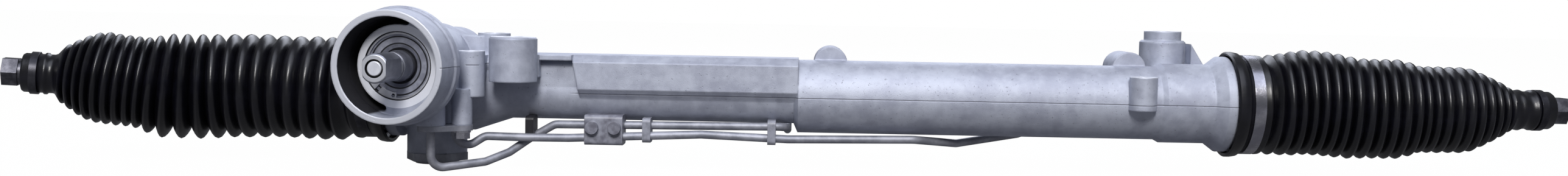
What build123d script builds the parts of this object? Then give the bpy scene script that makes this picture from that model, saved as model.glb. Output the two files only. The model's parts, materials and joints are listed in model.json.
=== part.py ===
from build123d import *
from math import acos, atan2, cos, pi, radians, sin, sqrt, tan
import os

# A hydraulic rack-and-pinion steering gear, every piece a solid of its own.
# While modelling, the rack's own axis is the X axis, +Y is the rear and +Z is up.
# The solids are written with their origin at the centre of the left mounting eye's bore.
# Lengths are millimetres and angles are degrees unless a name says otherwise.

# ---- rack bar and its travel ---------------------------------------------------------------
RACK_D = 30.0
BAR_LEFT_X, BAR_RIGHT_X = 389.5, 403.0   # the bar's end faces, as distances from the middle
TRAVEL_LEFT = 56.0           # stroke left from the place it is stored at
TRAVEL_RIGHT = 88.5
RUNNING = 0.05               # radial clearance of every sliding and turning fit
SEAT_GAP = 0.30              # between faces that never meet in use
STOP_GAP = 1.0               # left at full lock

# ---- teeth ---------------------------------------------------------------------------------
MODULE = 2.0                 # normal module
PINION_TEETH = 8
HELIX = 25.0
PRESSURE = 20.0
SHIFT = 1.0                  # profile shift of the pinion, as a length
PINION_LEAN = 5.0            # pinion axis against the rack's normal
PINION_X = -261.5            # where the pinion axis crosses the rack
TOOTH_TIP_Z = 13.0           # tip plane of the rack teeth above its axis
RACK_DEDENDUM = 2.5
PINION_TIP_R = 11.5
PINION_FACE = 32.0
BACKLASH = 0.10

PITCH_R = MODULE * PINION_TEETH / (2 * cos(radians(HELIX)))
ROOT_R = PITCH_R - 1.25 * MODULE + SHIFT
PINION_Z = TOOTH_TIP_Z - MODULE + PITCH_R + SHIFT
RACK_TOOTH_ANGLE = HELIX - PINION_LEAN
RACK_PITCH = pi * MODULE / cos(radians(RACK_TOOTH_ANGLE))
TEETH_LEFT_X = PINION_X - TRAVEL_RIGHT - 14.0
TEETH_RIGHT_X = PINION_X + TRAVEL_LEFT + 14.0

# ---- valve tower, lengths along the pinion axis from the mesh --------------------------------
CASE_R = 25.5
CASE_BACK_T = -44.0
COLLAR_R = 29.0
COLLAR_T = 77.3              # front face of the collar round the valve bore
SHROUD_FRONT_T = 97.4
SHROUD_FRONT_R = 39.2
SHROUD_BACK_T = 75.0
SHROUD_BACK_R = 41.8
SHROUD_WALL = 4.4
SHROUD_CONE_T = 50.0
SLOT_FLOOR_T = 58.0
SLOT_START, SLOT_SWEEP = 79.0, 171.0
SLOT_W = 5.2
VALVE_BORE_D = 38.0
VALVE_BORE_T = 33.5
BEARING_BORE_D = 42.0
BEARING_T, BEARING_L = 60.5, 9.0
SEAL_BORE_D = 47.0
SEAL_L = 5.0
CIRCLIP_T, CIRCLIP_L = BEARING_T + BEARING_L + SEAL_L, 1.6
BUSH_BORE_D = 27.0
BUSH_T, BUSH_L = 19.0, 13.0
MESH_BORE_D = 25.0
LOWER_BEARING_D, LOWER_BEARING_BORE, LOWER_BEARING_L = 35.0, 15.0, 11.0
LOWER_BEARING_T = -30.0
CAP_L = 8.0

# ---- input shaft, valve sleeve and torsion bar -----------------------------------------------
VALVE_D = 22.0
SLEEVE_T, SLEEVE_L = 34.0, 26.0
SLEEVE_STEP, SLEEVE_STEP_L = 1.5, 1.6
SPIGOT_END_T = 42.5
SHAFT_BOTTOM_T = 43.0
SHAFT_TIP_T = 117.5
TIP_D = 20.2
TIP_ACROSS_FLATS = 16.3
FLATS_T = 90.0
TIP_TAPER_T = 80.0
TORSION_D, TORSION_HEAD_D, TORSION_FOOT_D = 6.0, 10.0, 8.0
TONGUE_W, TONGUE_D, TONGUE_L = 8.0, 15.0, 6.0
TORSION_PLAY = 5.0           # either way, before the tongue meets its slot
TORSION_PIN_D, TORSION_PIN_T = 4.0, 108.0

TORSION_HEAD_T, TORSION_FOOT_L = 102.0, 8.0
TIP_CHAMFER = 1.2
TIP_GROOVE_W, TIP_GROOVE_DEPTH = 1.2, 2.5
BOLT_GROOVE_T, BOLT_GROOVE_L, BOLT_GROOVE_DEPTH = 88.5, 3.0, 0.8
VALVE_SLOTS, VALVE_SLOT_W, VALVE_SLOT_DEPTH, VALVE_SLOT_L = 8, 2.4, 1.0, 17.0
VALVE_RINGS, VALVE_RING_W, VALVE_RING_DEPTH, VALVE_RING_EDGE = 4, 1.8, 1.2, 1.5
VALVE_PORT_R = 1.2
BUSH_WALL = 4.0
RACE_GAP, BEARING_BALL_R, BEARING_BALLS = 4.0, 2.9, 8
NUT_ACROSS, NUT_L, NUT_THREAD_R = 19.0, 6.0, 6.5
CAP_FLOOR, CAP_WALL = 4.0, 3.0
CIRCLIP_DEPTH, CIRCLIP_BAND, CIRCLIP_GAP, CIRCLIP_TURN = 1.2, 1.4, 3.0, 228.0
LUG_SPAN, LUG_W, LUG_EYE_ANGLE, LUG_EYE_R = 38.0, 5.0, 32.0, 1.3

# ---- housing along the rack --------------------------------------------------------------
SEAT_R = 32.0                # the boots' seats at both ends
LEFT_END_X = -316.0
LEFT_SHOULDER_X = -294.0
SHOULDER_R, SHOULDER_L = 35.5, 8.0
GEAR_BODY_R, GEAR_BODY_END_X = 30.0, -232.0
NARROW_R, NARROW_START_X = 20.5, -204.0
CYLINDER_X = 10.0            # left end of the cylinder bore
WIDE_R = 27.3
END_R, END_START_X = 29.5, 280.0
RIGHT_SHOULDER_X = 328.0
RIGHT_END_X = 352.0
RACK_PASSAGE_R = 17.5
CYLINDER_R = 22.0
PORT_X = (34.0, 257.0)
PORT_Z, PORT_R, PORT_MOUTH_Y, PORT_THREAD_R = 25.0, 12.5, 32.0, 7.0
BEAM_X, BEAM_TOP_Z, BEAM_Y = -226.0, 28.5, 20.0
PAD_X, PAD_Y, PAD_Z = -156.0, -26.0, (3.5, 23.5)
PAD_SLANT = 9.0

# ---- mounting eyes and bosses ----------------------------------------------------------------
EYE_R, EYE_BORE_R = 17.3, 7.25
LEFT_EYE = (-197.0, -35.0)
LEFT_EYE_Z = (9.0, 41.5)
RIGHT_EYE = (292.0, 40.0)
RIGHT_EYE_Z = (5.0, 53.0)
RIGHT_NECK_R, RIGHT_NECK_L = 14.0, 7.0
FRONT_BOSS = (261.0, -28.0)
FRONT_BOSS_Z = (-4.0, 20.5)
FRONT_BOSS_R, FRONT_THREAD_R, FRONT_THREAD_L = 10.0, 4.0, 16.0
PRESSURE_PORT = (-225.7, -40.0)
PRESSURE_PORT_Z = (-2.0, 31.0)
PRESSURE_PORT_R, PRESSURE_THREAD_R = 9.3, 6.0
RETURN_PORT = (-219.0, 1.0)
RETURN_PORT_Z = (12.0, 43.0)
RETURN_PORT_R, RETURN_THREAD_R = 12.0, 8.0
PORT_THREAD_L = 13.0

# ---- yoke --------------------------------------------------------------------------------
YOKE_R, YOKE_BOSS_R = 16.0, 22.0
YOKE_TOP_Z, YOKE_L = -5.0, 24.0
YOKE_BOSS_Z = -47.0
YOKE_PLAY = 0.1              # between the yoke's back and its plug
YOKE_PLUG_L, YOKE_PLUG_TOP_Z = 26.0, YOKE_TOP_Z - YOKE_L - YOKE_PLAY
YOKE_SOCKET_ACROSS, YOKE_SOCKET_L = 14.0, 8.0
YOKE_NUT_ACROSS, YOKE_NUT_L = 40.0, 6.0
YOKE_GROOVE = 6.0
SPRING_R, SPRING_WIRE, SPRING_TURNS, SPRING_POCKET, PLUG_POCKET = 7.0, 2.2, 4.0, 8.0, 6.0
O_RING_R = 1.1
LINER_T = 1.5

# ---- cylinder fittings -------------------------------------------------------------------
PISTON_X, PISTON_L = 124.0, 16.0
PISTON_RING_W, PISTON_RING_DEPTH = 5.0, 3.0
INNER_SEAL_L = 10.0
GLAND_X = (286.0, 330.0)
GLAND_NOSE_R, GLAND_NOSE_X = 18.5, 338.0
RACK_SEAL_R, RACK_SEAL_L = 20.0, 7.0
BUSH_R, RACK_BUSH_L = 17.5, 14.0

SNAP_W, SNAP_DEPTH, SNAP_PROUD = 2.0, 1.0, 1.6
WASHER_T = 3.0

# ---- pipes -------------------------------------------------------------------------------
PIPE_D = 6.0
FLANGE_Z, FLANGE_T = -26.0, 4.0
PIPE_A, PIPE_B = (-250.3, -58.0), (-238.3, -37.0)
FLANGE_BOLT = (-231.0, -46.5)
PIPE_BOSS_R, BOLT_BOSS_R = 10.0, 7.2
BOLT_BOSS_TOP_Z = 4.0
BOLT_R, BOLT_L, BOLT_HEAD_R, BOLT_HEAD_L = 3.0, 18.0, 5.7, 6.0

PIPE_TOP_Z, PIPE_BEND_R, PIPE_RING_T = -12.0, 9.0, 2.0
PORT_DRILL_R = 2.0
UNION_ACROSS, UNION_L, UNION_GRIP = 17.0, 14.0, 9.0
CLIP_X, CLIP_L = -146.0, 28.0
CLIP_KNOB_R, CLIP_KNOB_L, CLIP_KNOB_PITCH = 4.7, 4.0, 16.5
STRAP_X, STRAP_L = (-190.0, -104.0, -12.0), 6.0

# ---- tie rods and their ball joints ------------------------------------------------------------
STUD_R, STUD_L = 8.0, 22.0
BALL_R = 13.5
BALL_SEAT_T = 2.0
SOCKET_R, SOCKET_WALL_BACK = 20.0, 4.4
SOCKET_LIP = 9.0             # socket wall past the ball's centre
SOCKET_FLATS = 34.0
SEAT_MOUTH = 60.0            # half angle of the seat's open mouth
SEAT_HOLE_R = 4.0
NECK_R, NECK_L, ROD_R = 6.0, 26.0, 8.0
ROD_REACH = 158.0            # ball centre to the outer end of the hex
HEX_ACROSS, HEX_L = 19.0, 10.0
ROD_THREAD_R, ROD_THREAD_L = 6.0, 30.0
CUFF_SEAT_R, CUFF_SEAT_L = 9.0, 26.0
LEFT_TILT, RIGHT_TILT = 4.1, 0.0     # how far each rod's end is raised as stored
LEFT_TURN, RIGHT_TURN = 20.0, 0.0    # and how far it is swung to the front

# ---- boots -----------------------------------------------------------------------------------
BOOT_WALL, CUFF_WALL, BEAD_PROUD, BEAD_L = 1.8, 3.7, 3.5, 8.0
CLAMP_W, CLAMP_T, CLAMP_INSET = 8.0, 1.2, 12.0
NECK_CUFF_WALL = 5.0
NECK_CLIP_W, NECK_CLIP_T = 5.0, 1.2
BIG_CRESTS, SMALL_CRESTS = 12, 10
BIG_CREST_R, SMALL_CREST_R = 38.6, 33.6
LEFT_BIG_X, LEFT_SMALL_X, LEFT_NECK_X = (328.6, 456.5), (466.0, 522.6), (534.0, 555.0)
RIGHT_BIG_X, RIGHT_SMALL_X, RIGHT_NECK_X = (361.4, 457.3), (466.4, 538.0), (546.0, 570.0)
LEFT_TROUGH, RIGHT_TROUGH = 8.0, 5.0
LEFT_BEND_X, RIGHT_BEND_X = 400.0, 445.0
RING_TURN_X = (340.0, 440.0)         # over this length a boot's rings turn to face along its rod
CONE_SHARE, CONE_STEEP, SMALL_TROUGH_SHARE = 0.55, 1.3, 0.5

BALL_PAST_END = BALL_R + BALL_SEAT_T + SOCKET_WALL_BACK + RUNNING

ORIGIN = (LEFT_EYE[0], LEFT_EYE[1], (LEFT_EYE_Z[0] + LEFT_EYE_Z[1]) / 2)


# ---- small helpers -------------------------------------------------------------------------
def turned_x(*points):
    """Solid turned about the rack's axis from (x, radius) points."""
    return revolve(Plane.XZ * make_face(Polyline(*points, close=True)), Axis.X)


def turned_z(*points):
    """Solid turned about the Z axis from (radius, z) points."""
    return revolve(Plane.XZ * make_face(Polyline(*points, close=True)), Axis.Z)


def tube_x(x0, x1, outer, inner):
    return turned_x((x0, inner), (x1, inner), (x1, outer), (x0, outer))


def tube_z(z0, z1, outer, inner):
    return turned_z((inner, z0), (inner, z1), (outer, z1), (outer, z0))


def sector(outer, inner, z, start, sweep):
    """Part of a ring about the Z axis, from an angle and over an angle."""
    section = Plane.XZ * make_face(
        Polyline((inner, z[0]), (outer, z[0]), (outer, z[1]), (inner, z[1]), close=True)
    )
    return Rot(0, 0, start) * revolve(section, Axis.Z, revolution_arc=sweep)


def rod(start, end, radius):
    """Cylinder between two points."""
    line = Vector(*end) - Vector(*start)
    foot = Plane(origin=start, z_dir=line)
    return foot.location * Cylinder(radius, line.length, align=(Align.CENTER, Align.CENTER, Align.MIN))


def post(centre, z, radius):
    """Upright cylinder at an (x, y) place between two heights."""
    return rod((*centre, z[0]), (*centre, z[1]), radius)


def block(x, y, z):
    """Box between two values on each axis."""
    middle = [(a[0] + a[1]) / 2 for a in (x, y, z)]
    return Pos(*middle) * Box(x[1] - x[0], y[1] - y[0], z[1] - z[0])


def hexagon(across, z0, z1):
    """Hexagonal bar along Z."""
    return Pos(0, 0, z0) * extrude(RegularPolygon(across / 2, 6, major_radius=False), z1 - z0)


LEAN_DIRECTION = Vector(-sin(radians(PINION_LEAN)), -cos(radians(PINION_LEAN)), 0)
TOWER = Plane(
    origin=(PINION_X, 0, PINION_Z),
    x_dir=(cos(radians(PINION_LEAN)), -sin(radians(PINION_LEAN)), 0),
    z_dir=LEAN_DIRECTION,
).location


# ---- gear teeth ------------------------------------------------------------------------------
def involute(angle):
    return tan(angle) - angle


def pinion_section():
    """Transverse section of the helical pinion, one tooth pointing down."""
    flank_angle = atan2(tan(radians(PRESSURE)), cos(radians(HELIX)))
    base_r = PITCH_R * cos(flank_angle)
    width = (pi / 2 * MODULE + 2 * SHIFT * tan(radians(PRESSURE)) - BACKLASH) / cos(radians(HELIX))
    half = width / (2 * PITCH_R)

    def at(radius, angle):
        return (radius * sin(angle), -radius * cos(angle))

    def half_angle(radius):
        return half + involute(flank_angle) - involute(acos(min(1.0, base_r / radius)))

    radii = [base_r + (PINION_TIP_R - base_r) * k / 6 for k in range(7)]
    step = 2 * pi / PINION_TEETH
    edges = []
    for tooth in range(PINION_TEETH):
        middle = tooth * step
        left = [at(r, middle - half_angle(r)) for r in radii]
        right = [at(r, middle + half_angle(r)) for r in reversed(radii)]
        foot = half_angle(base_r)
        root_left = at(ROOT_R, middle - foot)
        root_right = at(ROOT_R, middle + foot)
        next_root = at(ROOT_R, middle + step - foot)
        edges += [
            Line(root_left, left[0]),
            Spline(*left),
            ThreePointArc(left[-1], at(PINION_TIP_R, middle), right[0]),
            Spline(*right),
            Line(right[-1], root_right),
            ThreePointArc(root_right, at(ROOT_R, middle + step / 2), next_root),
        ]
    return Wire(edges)


def pinion_teeth():
    """The toothed length, twisted so that the middle tooth points straight at the rack."""
    twist = PINION_FACE * tan(radians(HELIX)) / PITCH_R * 180 / pi
    start = Pos(0, 0, -PINION_FACE / 2) * Rot(0, 0, -twist / 2) * pinion_section()
    return Part() + Solid.extrude_linear_with_rotation(
        start, (0, 0, -PINION_FACE / 2), (0, 0, PINION_FACE), twist
    )


def rack_gaps():
    """The spaces between the rack's teeth, as slanted trapezoid bars."""
    tan_p = tan(radians(PRESSURE))
    reference = TOOTH_TIP_Z - MODULE
    half = pi * MODULE / 4 + BACKLASH / 4
    top, bottom = TOOTH_TIP_Z + MODULE, reference - RACK_DEDENDUM
    section = make_face(
        Polyline(
            (-half - (top - reference) * tan_p, top),
            (-half + RACK_DEDENDUM * tan_p, bottom),
            (half - RACK_DEDENDUM * tan_p, bottom),
            (half + (top - reference) * tan_p, top),
            close=True,
        )
    )
    across = Plane(
        origin=(0, 0, 0),
        x_dir=(cos(radians(RACK_TOOTH_ANGLE)), sin(radians(RACK_TOOTH_ANGLE)), 0),
        z_dir=(sin(radians(RACK_TOOTH_ANGLE)), -cos(radians(RACK_TOOTH_ANGLE)), 0),
    )
    bar = extrude(across * section, RACK_D, both=True)
    first = int((TEETH_LEFT_X - PINION_X) / RACK_PITCH)
    last = int((TEETH_RIGHT_X - PINION_X) / RACK_PITCH)
    return [Pos(PINION_X + k * RACK_PITCH, 0, 0) * bar for k in range(first, last + 1)]


# ---- rack and piston -------------------------------------------------------------------------
def rack_bar():
    """Ground bar with its flat, its teeth and a threaded hole in each end."""
    r = RACK_D / 2
    bar = turned_x(
        (-BAR_LEFT_X, 0), (-BAR_LEFT_X, r - 1.5), (-BAR_LEFT_X + 1.5, r),
        (BAR_RIGHT_X - 1.5, r), (BAR_RIGHT_X, r - 1.5), (BAR_RIGHT_X, 0),
    )
    bar -= block((TEETH_LEFT_X, TEETH_RIGHT_X), (-r, r), (TOOTH_TIP_Z, r + 1))
    bar -= rack_gaps()
    for end in (-1, 1):
        hole = (end * (end_of(end) - STUD_L), end * (end_of(end) + 1))
        bar -= tube_x(min(hole), max(hole), STUD_R, 0)
    for x in snap_ring_places():
        bar -= tube_x(x, x + SNAP_W, r + 1, r - SNAP_DEPTH)
    return bar


def snap_ring_places():
    """Left face of each piston snap ring."""
    return (PISTON_X - PISTON_L / 2 - SNAP_W, PISTON_X + PISTON_L / 2)


def piston():
    r = CYLINDER_R - RUNNING
    body = tube_x(PISTON_X - PISTON_L / 2, PISTON_X + PISTON_L / 2, r, RACK_D / 2)
    half = PISTON_RING_W / 2
    return body - tube_x(PISTON_X - half, PISTON_X + half, r + 1, r - PISTON_RING_DEPTH)


def piston_ring():
    half, r = PISTON_RING_W / 2, CYLINDER_R - RUNNING
    return tube_x(PISTON_X - half, PISTON_X + half, r, r - PISTON_RING_DEPTH)


def piston_snap_rings():
    """Two wire rings that hold the piston on the bar."""
    r = RACK_D / 2
    rings = []
    for x in snap_ring_places():
        ring = tube_x(x, x + SNAP_W, r + SNAP_PROUD, r - SNAP_DEPTH)
        opening = block((x, x + SNAP_W), (-SNAP_W, SNAP_W), (0, r + SNAP_PROUD + 1))
        rings.append(ring - opening)
    return rings


# ---- pinion shaft and the valve in it ----------------------------------------------------------
def pinion():
    """Toothed pinion with its two journals and the slotted spigot that drives the sleeve."""
    bush_r = BUSH_BORE_D / 2 - BUSH_WALL
    lower_r = LOWER_BEARING_BORE / 2
    half = PINION_FACE / 2
    shaft = turned_z(
        (0, LOWER_BEARING_T - NUT_L - 1), (NUT_THREAD_R, LOWER_BEARING_T - NUT_L - 1),
        (NUT_THREAD_R, LOWER_BEARING_T), (lower_r, LOWER_BEARING_T),
        (lower_r, LOWER_BEARING_T + LOWER_BEARING_L), (ROOT_R + 1, LOWER_BEARING_T + LOWER_BEARING_L),
        (ROOT_R + 1, -half), (ROOT_R - 1, -half), (ROOT_R - 1, half), (ROOT_R, half),
        (bush_r - RUNNING, BUSH_T), (bush_r - RUNNING, SLEEVE_T - SLEEVE_STEP_L),
        (VALVE_D / 2 + SLEEVE_STEP, SLEEVE_T - SLEEVE_STEP_L), (VALVE_D / 2 + SLEEVE_STEP, SLEEVE_T),
        (VALVE_D / 2, SLEEVE_T), (VALVE_D / 2, SPIGOT_END_T), (0, SPIGOT_END_T),
    )
    shaft += pinion_teeth()
    shaft -= tube_z(-TORSION_FOOT_L - 1, SPIGOT_END_T + 1, TORSION_FOOT_D / 2 + RUNNING, 0)
    slot_half = tongue_reach() + 0.1
    slot_depth = TONGUE_L + SHAFT_BOTTOM_T - SPIGOT_END_T
    floor = SPIGOT_END_T - slot_depth - SEAT_GAP
    slot = block((-VALVE_D, VALVE_D), (-slot_half, slot_half), (floor, SPIGOT_END_T + 1))
    return TOWER * (shaft - slot)


def tongue_reach():
    """Half width that the tongue sweeps when it turns through its play."""
    play = radians(TORSION_PLAY)
    corner = sqrt((TONGUE_D / 2) ** 2 - (TONGUE_W / 2) ** 2)
    return TONGUE_W / 2 * cos(play) + corner * sin(play)


def valve_sleeve():
    """Ported sleeve with four ring grooves round its outside."""
    outer = VALVE_BORE_D / 2 - RUNNING
    top = SLEEVE_T + SLEEVE_L
    sleeve = tube_z(SLEEVE_T, top, outer, VALVE_D / 2)
    sleeve -= tube_z(SPIGOT_END_T, top, VALVE_D / 2 + RUNNING, 0)
    for z in valve_ring_places():
        sleeve -= tube_z(z, z + VALVE_RING_W, outer + 1, outer - VALVE_RING_DEPTH)
    for band in range(VALVE_RINGS - 1):
        z = (valve_ring_places()[band] + valve_ring_places()[band + 1] + VALVE_RING_W) / 2
        for turn in range(4):
            hole = Rot(0, 0, 45 + 90 * turn) * rod((0, 0, z), (VALVE_BORE_D, 0, z), VALVE_PORT_R)
            sleeve -= hole
    return TOWER * sleeve


def valve_ring_places():
    """Lower edge of each sleeve ring, evenly spread over the sleeve."""
    pitch = (SLEEVE_L - VALVE_RING_W - 2 * VALVE_RING_EDGE) / (VALVE_RINGS - 1)
    return [SLEEVE_T + VALVE_RING_EDGE + k * pitch for k in range(VALVE_RINGS)]


def valve_rings():
    outer = VALVE_BORE_D / 2 - RUNNING
    return [
        TOWER * tube_z(z, z + VALVE_RING_W, outer, outer - VALVE_RING_DEPTH)
        for z in valve_ring_places()
    ]


def input_shaft():
    """Rotary valve shaft, with the flats that the column's joint grips at its tip."""
    r = VALVE_D / 2
    shaft = turned_z(
        (0, SHAFT_BOTTOM_T), (r, SHAFT_BOTTOM_T), (r, TIP_TAPER_T - 3), (TIP_D / 2, TIP_TAPER_T),
        (TIP_D / 2, SHAFT_TIP_T - TIP_CHAMFER), (TIP_D / 2 - TIP_CHAMFER, SHAFT_TIP_T), (0, SHAFT_TIP_T),
    )
    for side in (-1, 1):
        cut = block(
            (TIP_ACROSS_FLATS / 2, TIP_D), (-TIP_D, TIP_D), (FLATS_T, SHAFT_TIP_T + 1)
        )
        shaft -= Rot(0, 0, 90 - 90 * side) * cut
    for turn in range(VALVE_SLOTS):
        slot = block((r - VALVE_SLOT_DEPTH, r + 1), (-VALVE_SLOT_W / 2, VALVE_SLOT_W / 2),
                     (SLEEVE_T + SLEEVE_L - VALVE_SLOT_L, SLEEVE_T + SLEEVE_L - 3))
        shaft -= Rot(0, 0, turn * 360 / VALVE_SLOTS) * slot
    tongue = tube_z(SHAFT_BOTTOM_T - TONGUE_L, SHAFT_BOTTOM_T, TONGUE_D / 2, 0)
    tongue &= block((-TONGUE_D, TONGUE_D), (-TONGUE_W / 2, TONGUE_W / 2), (SHAFT_BOTTOM_T - TONGUE_L, SHAFT_TIP_T))
    shaft += tongue
    shaft -= tube_z(BOLT_GROOVE_T, BOLT_GROOVE_T + BOLT_GROOVE_L, TIP_D, TIP_D / 2 - BOLT_GROOVE_DEPTH)
    head = TORSION_HEAD_D / 2
    shaft -= turned_z(
        (0, SHAFT_BOTTOM_T - TONGUE_L - 1), (TORSION_D / 2 + 0.6, SHAFT_BOTTOM_T - TONGUE_L - 1),
        (TORSION_D / 2 + 0.6, TORSION_HEAD_T), (head, TORSION_HEAD_T), (head, SHAFT_TIP_T - TIP_GROOVE_DEPTH),
        (head + TIP_GROOVE_W, SHAFT_TIP_T - TIP_GROOVE_DEPTH), (head + TIP_GROOVE_W, SHAFT_TIP_T + 1),
        (0, SHAFT_TIP_T + 1),
    )
    return TOWER * (shaft - torsion_pin_bar())


def torsion_bar():
    """Waisted spring bar between the input shaft's tip and the pinion."""
    waist, foot, head = TORSION_D / 2, TORSION_FOOT_D / 2, TORSION_HEAD_D / 2
    bar = turned_z(
        (0, -TORSION_FOOT_L), (foot, -TORSION_FOOT_L), (foot, TORSION_FOOT_L), (waist, TORSION_FOOT_L + 3),
        (waist, TORSION_HEAD_T), (head, TORSION_HEAD_T), (head, SHAFT_TIP_T - 0.5), (head - 0.5, SHAFT_TIP_T),
        (0, SHAFT_TIP_T),
    )
    return TOWER * (bar - torsion_pin_bar())


def torsion_pin_bar():
    """The cross pin before it is placed, across the shaft's rounded sides."""
    reach = TIP_D / 2 - 0.6
    return rod((0, -reach, TORSION_PIN_T), (0, reach, TORSION_PIN_T), TORSION_PIN_D / 2)


def torsion_pin():
    return TOWER * torsion_pin_bar()


# ---- bearings, seals and caps in the tower ------------------------------------------------------
def ring_in_tower(t, length, outer, inner):
    return TOWER * tube_z(t, t + length, outer, inner)


def pinion_bush():
    return ring_in_tower(BUSH_T, BUSH_L, BUSH_BORE_D / 2, BUSH_BORE_D / 2 - BUSH_WALL)


def race_middle():
    """Radius half way between the two races of the lower bearing."""
    return (LOWER_BEARING_D + LOWER_BEARING_BORE) / 4


def lower_bearing_outer():
    race = tube_z(0, LOWER_BEARING_L, LOWER_BEARING_D / 2, race_middle() + RACE_GAP / 2)
    return TOWER * Pos(0, 0, LOWER_BEARING_T) * (race - ball_groove())


def lower_bearing_inner():
    race = tube_z(0, LOWER_BEARING_L, race_middle() - RACE_GAP / 2, LOWER_BEARING_BORE / 2)
    return TOWER * Pos(0, 0, LOWER_BEARING_T) * (race - ball_groove())


def ball_groove():
    return Pos(0, 0, LOWER_BEARING_L / 2) * Torus(race_middle(), BEARING_BALL_R + RUNNING)


def lower_bearing_balls():
    place = Pos(0, 0, LOWER_BEARING_T + LOWER_BEARING_L / 2)
    return [
        TOWER * place * Rot(0, 0, k * 360 / BEARING_BALLS) * Pos(race_middle(), 0, 0) * Sphere(BEARING_BALL_R)
        for k in range(BEARING_BALLS)
    ]


def pinion_nut():
    """Hexagon nut that holds the lower bearing on the pinion."""
    nut = hexagon(NUT_ACROSS, LOWER_BEARING_T - NUT_L, LOWER_BEARING_T)
    return TOWER * (nut - tube_z(LOWER_BEARING_T - NUT_L, LOWER_BEARING_T, NUT_THREAD_R, 0))


def lower_cap():
    """Screwed cap behind the lower bearing, with a hexagon to turn it by."""
    r = LOWER_BEARING_D / 2
    cap = turned_z(
        (0, CASE_BACK_T - CAP_L), (0, CASE_BACK_T + CAP_FLOOR), (r - CAP_WALL, CASE_BACK_T + CAP_FLOOR),
        (r - CAP_WALL, LOWER_BEARING_T), (r, LOWER_BEARING_T), (r, CASE_BACK_T), (r + 4, CASE_BACK_T),
        (r + 4, CASE_BACK_T - 2), (r - 3, CASE_BACK_T - 2), (r - 3, CASE_BACK_T - CAP_L),
    )
    return TOWER * cap


def input_bearing():
    return ring_in_tower(BEARING_T, BEARING_L, BEARING_BORE_D / 2, VALVE_D / 2 + RUNNING)


def input_seal():
    """Lip seal in the mouth of the valve bore."""
    t, lip = BEARING_T + BEARING_L, VALVE_D / 2 + RUNNING
    outer = SEAL_BORE_D / 2
    seal = turned_z(
        (lip, t + 1), (lip, t + 2.5), (lip + 4, t + SEAL_L), (outer, t + SEAL_L), (outer, t), (lip + 4, t),
    )
    return TOWER * seal


def seal_circlip():
    """Internal circlip whose two broad eyed ends lie to the lower left."""
    r = SEAL_BORE_D / 2
    ring = tube_z(0, CIRCLIP_L, r + CIRCLIP_DEPTH, r - CIRCLIP_BAND)
    for side in (-1, 1):
        start = 0 if side > 0 else -LUG_SPAN
        ring += sector(r, r - LUG_W, (0, CIRCLIP_L), start, LUG_SPAN)
        eye = Rot(0, 0, side * LUG_EYE_ANGLE) * Pos(r - LUG_W / 2, 0, 0)
        ring -= eye * tube_z(-1, CIRCLIP_L + 1, LUG_EYE_R, 0)
    ring -= block((0, r * 2), (-CIRCLIP_GAP / 2, CIRCLIP_GAP / 2), (-1, CIRCLIP_L + 1))
    return TOWER * Pos(0, 0, CIRCLIP_T) * Rot(0, 0, CIRCLIP_TURN) * ring


# ---- yoke that holds the rack against the pinion ---------------------------------------------
def under_mesh(shape):
    """Moves a shape modelled on the Z axis under the mesh."""
    return Pos(PINION_X, 0, 0) * shape


def rack_saddle(extra):
    return rod((-YOKE_R * 2, 0, 0), (YOKE_R * 2, 0, 0), RACK_D / 2 + extra)


def yoke():
    r = YOKE_R - RUNNING
    back = YOKE_TOP_Z - YOKE_L
    body = tube_z(back, YOKE_TOP_Z, r, 0) - rack_saddle(RUNNING + LINER_T)
    body -= tube_z(back, back + SPRING_POCKET, SPRING_R + SPRING_WIRE / 2 + 0.2, 0)
    groove = back + YOKE_GROOVE
    return under_mesh(body - tube_z(groove, groove + 2 * O_RING_R, r + 1, r - 2 * O_RING_R))


def yoke_ring():
    """O-ring in the yoke's groove."""
    middle = YOKE_TOP_Z - YOKE_L + YOKE_GROOVE + O_RING_R
    return under_mesh(Pos(0, 0, middle) * Torus(YOKE_R - RUNNING - O_RING_R, O_RING_R))


def yoke_liner():
    """Low-friction liner between the yoke and the rack."""
    shell = rack_saddle(RUNNING + LINER_T) - rack_saddle(RUNNING)
    width = YOKE_R - 2.5
    keep = block((-width + 1, width - 1), (-width + 1.5, width - 1.5), (-RACK_D, YOKE_TOP_Z - 0.5))
    return under_mesh(shell & keep)


def yoke_spring():
    """Coil spring between the yoke's pocket and the plug's."""
    bottom = YOKE_PLUG_TOP_Z - PLUG_POCKET + SPRING_WIRE / 2
    top = YOKE_TOP_Z - YOKE_L + SPRING_POCKET - SPRING_WIRE / 2
    line = Helix(pitch=(top - bottom) / SPRING_TURNS, height=top - bottom, radius=SPRING_R, center=(0, 0, bottom))
    section = Plane(origin=line @ 0, z_dir=line % 0) * Circle(SPRING_WIRE / 2)
    return under_mesh(sweep(section, path=line, is_frenet=True))


def yoke_plug():
    """Adjusting plug with a hexagon socket below and the spring's pocket above."""
    top, bottom = YOKE_PLUG_TOP_Z, YOKE_PLUG_TOP_Z - YOKE_PLUG_L
    plug = tube_z(bottom, top, YOKE_R, 0)
    plug -= tube_z(top - PLUG_POCKET, top, SPRING_R + SPRING_WIRE / 2 + 0.2, 0)
    return under_mesh(plug - hexagon(YOKE_SOCKET_ACROSS, bottom - 1, bottom + YOKE_SOCKET_L))


def yoke_lock_nut():
    nut = hexagon(YOKE_NUT_ACROSS, YOKE_BOSS_Z - YOKE_NUT_L, YOKE_BOSS_Z)
    return under_mesh(nut - tube_z(YOKE_BOSS_Z - YOKE_NUT_L, YOKE_BOSS_Z, YOKE_R, 0))


# ---- cylinder end fittings ---------------------------------------------------------------------
def inner_rack_seal():
    """Seal between the gear case and the cylinder."""
    x, lip = CYLINDER_X, RACK_D / 2 + RUNNING
    return turned_x((x, lip + 2), (x + 2, lip), (x + 5, lip), (x + INNER_SEAL_L, lip + 2),
                    (x + INNER_SEAL_L, CYLINDER_R), (x, CYLINDER_R))


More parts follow.
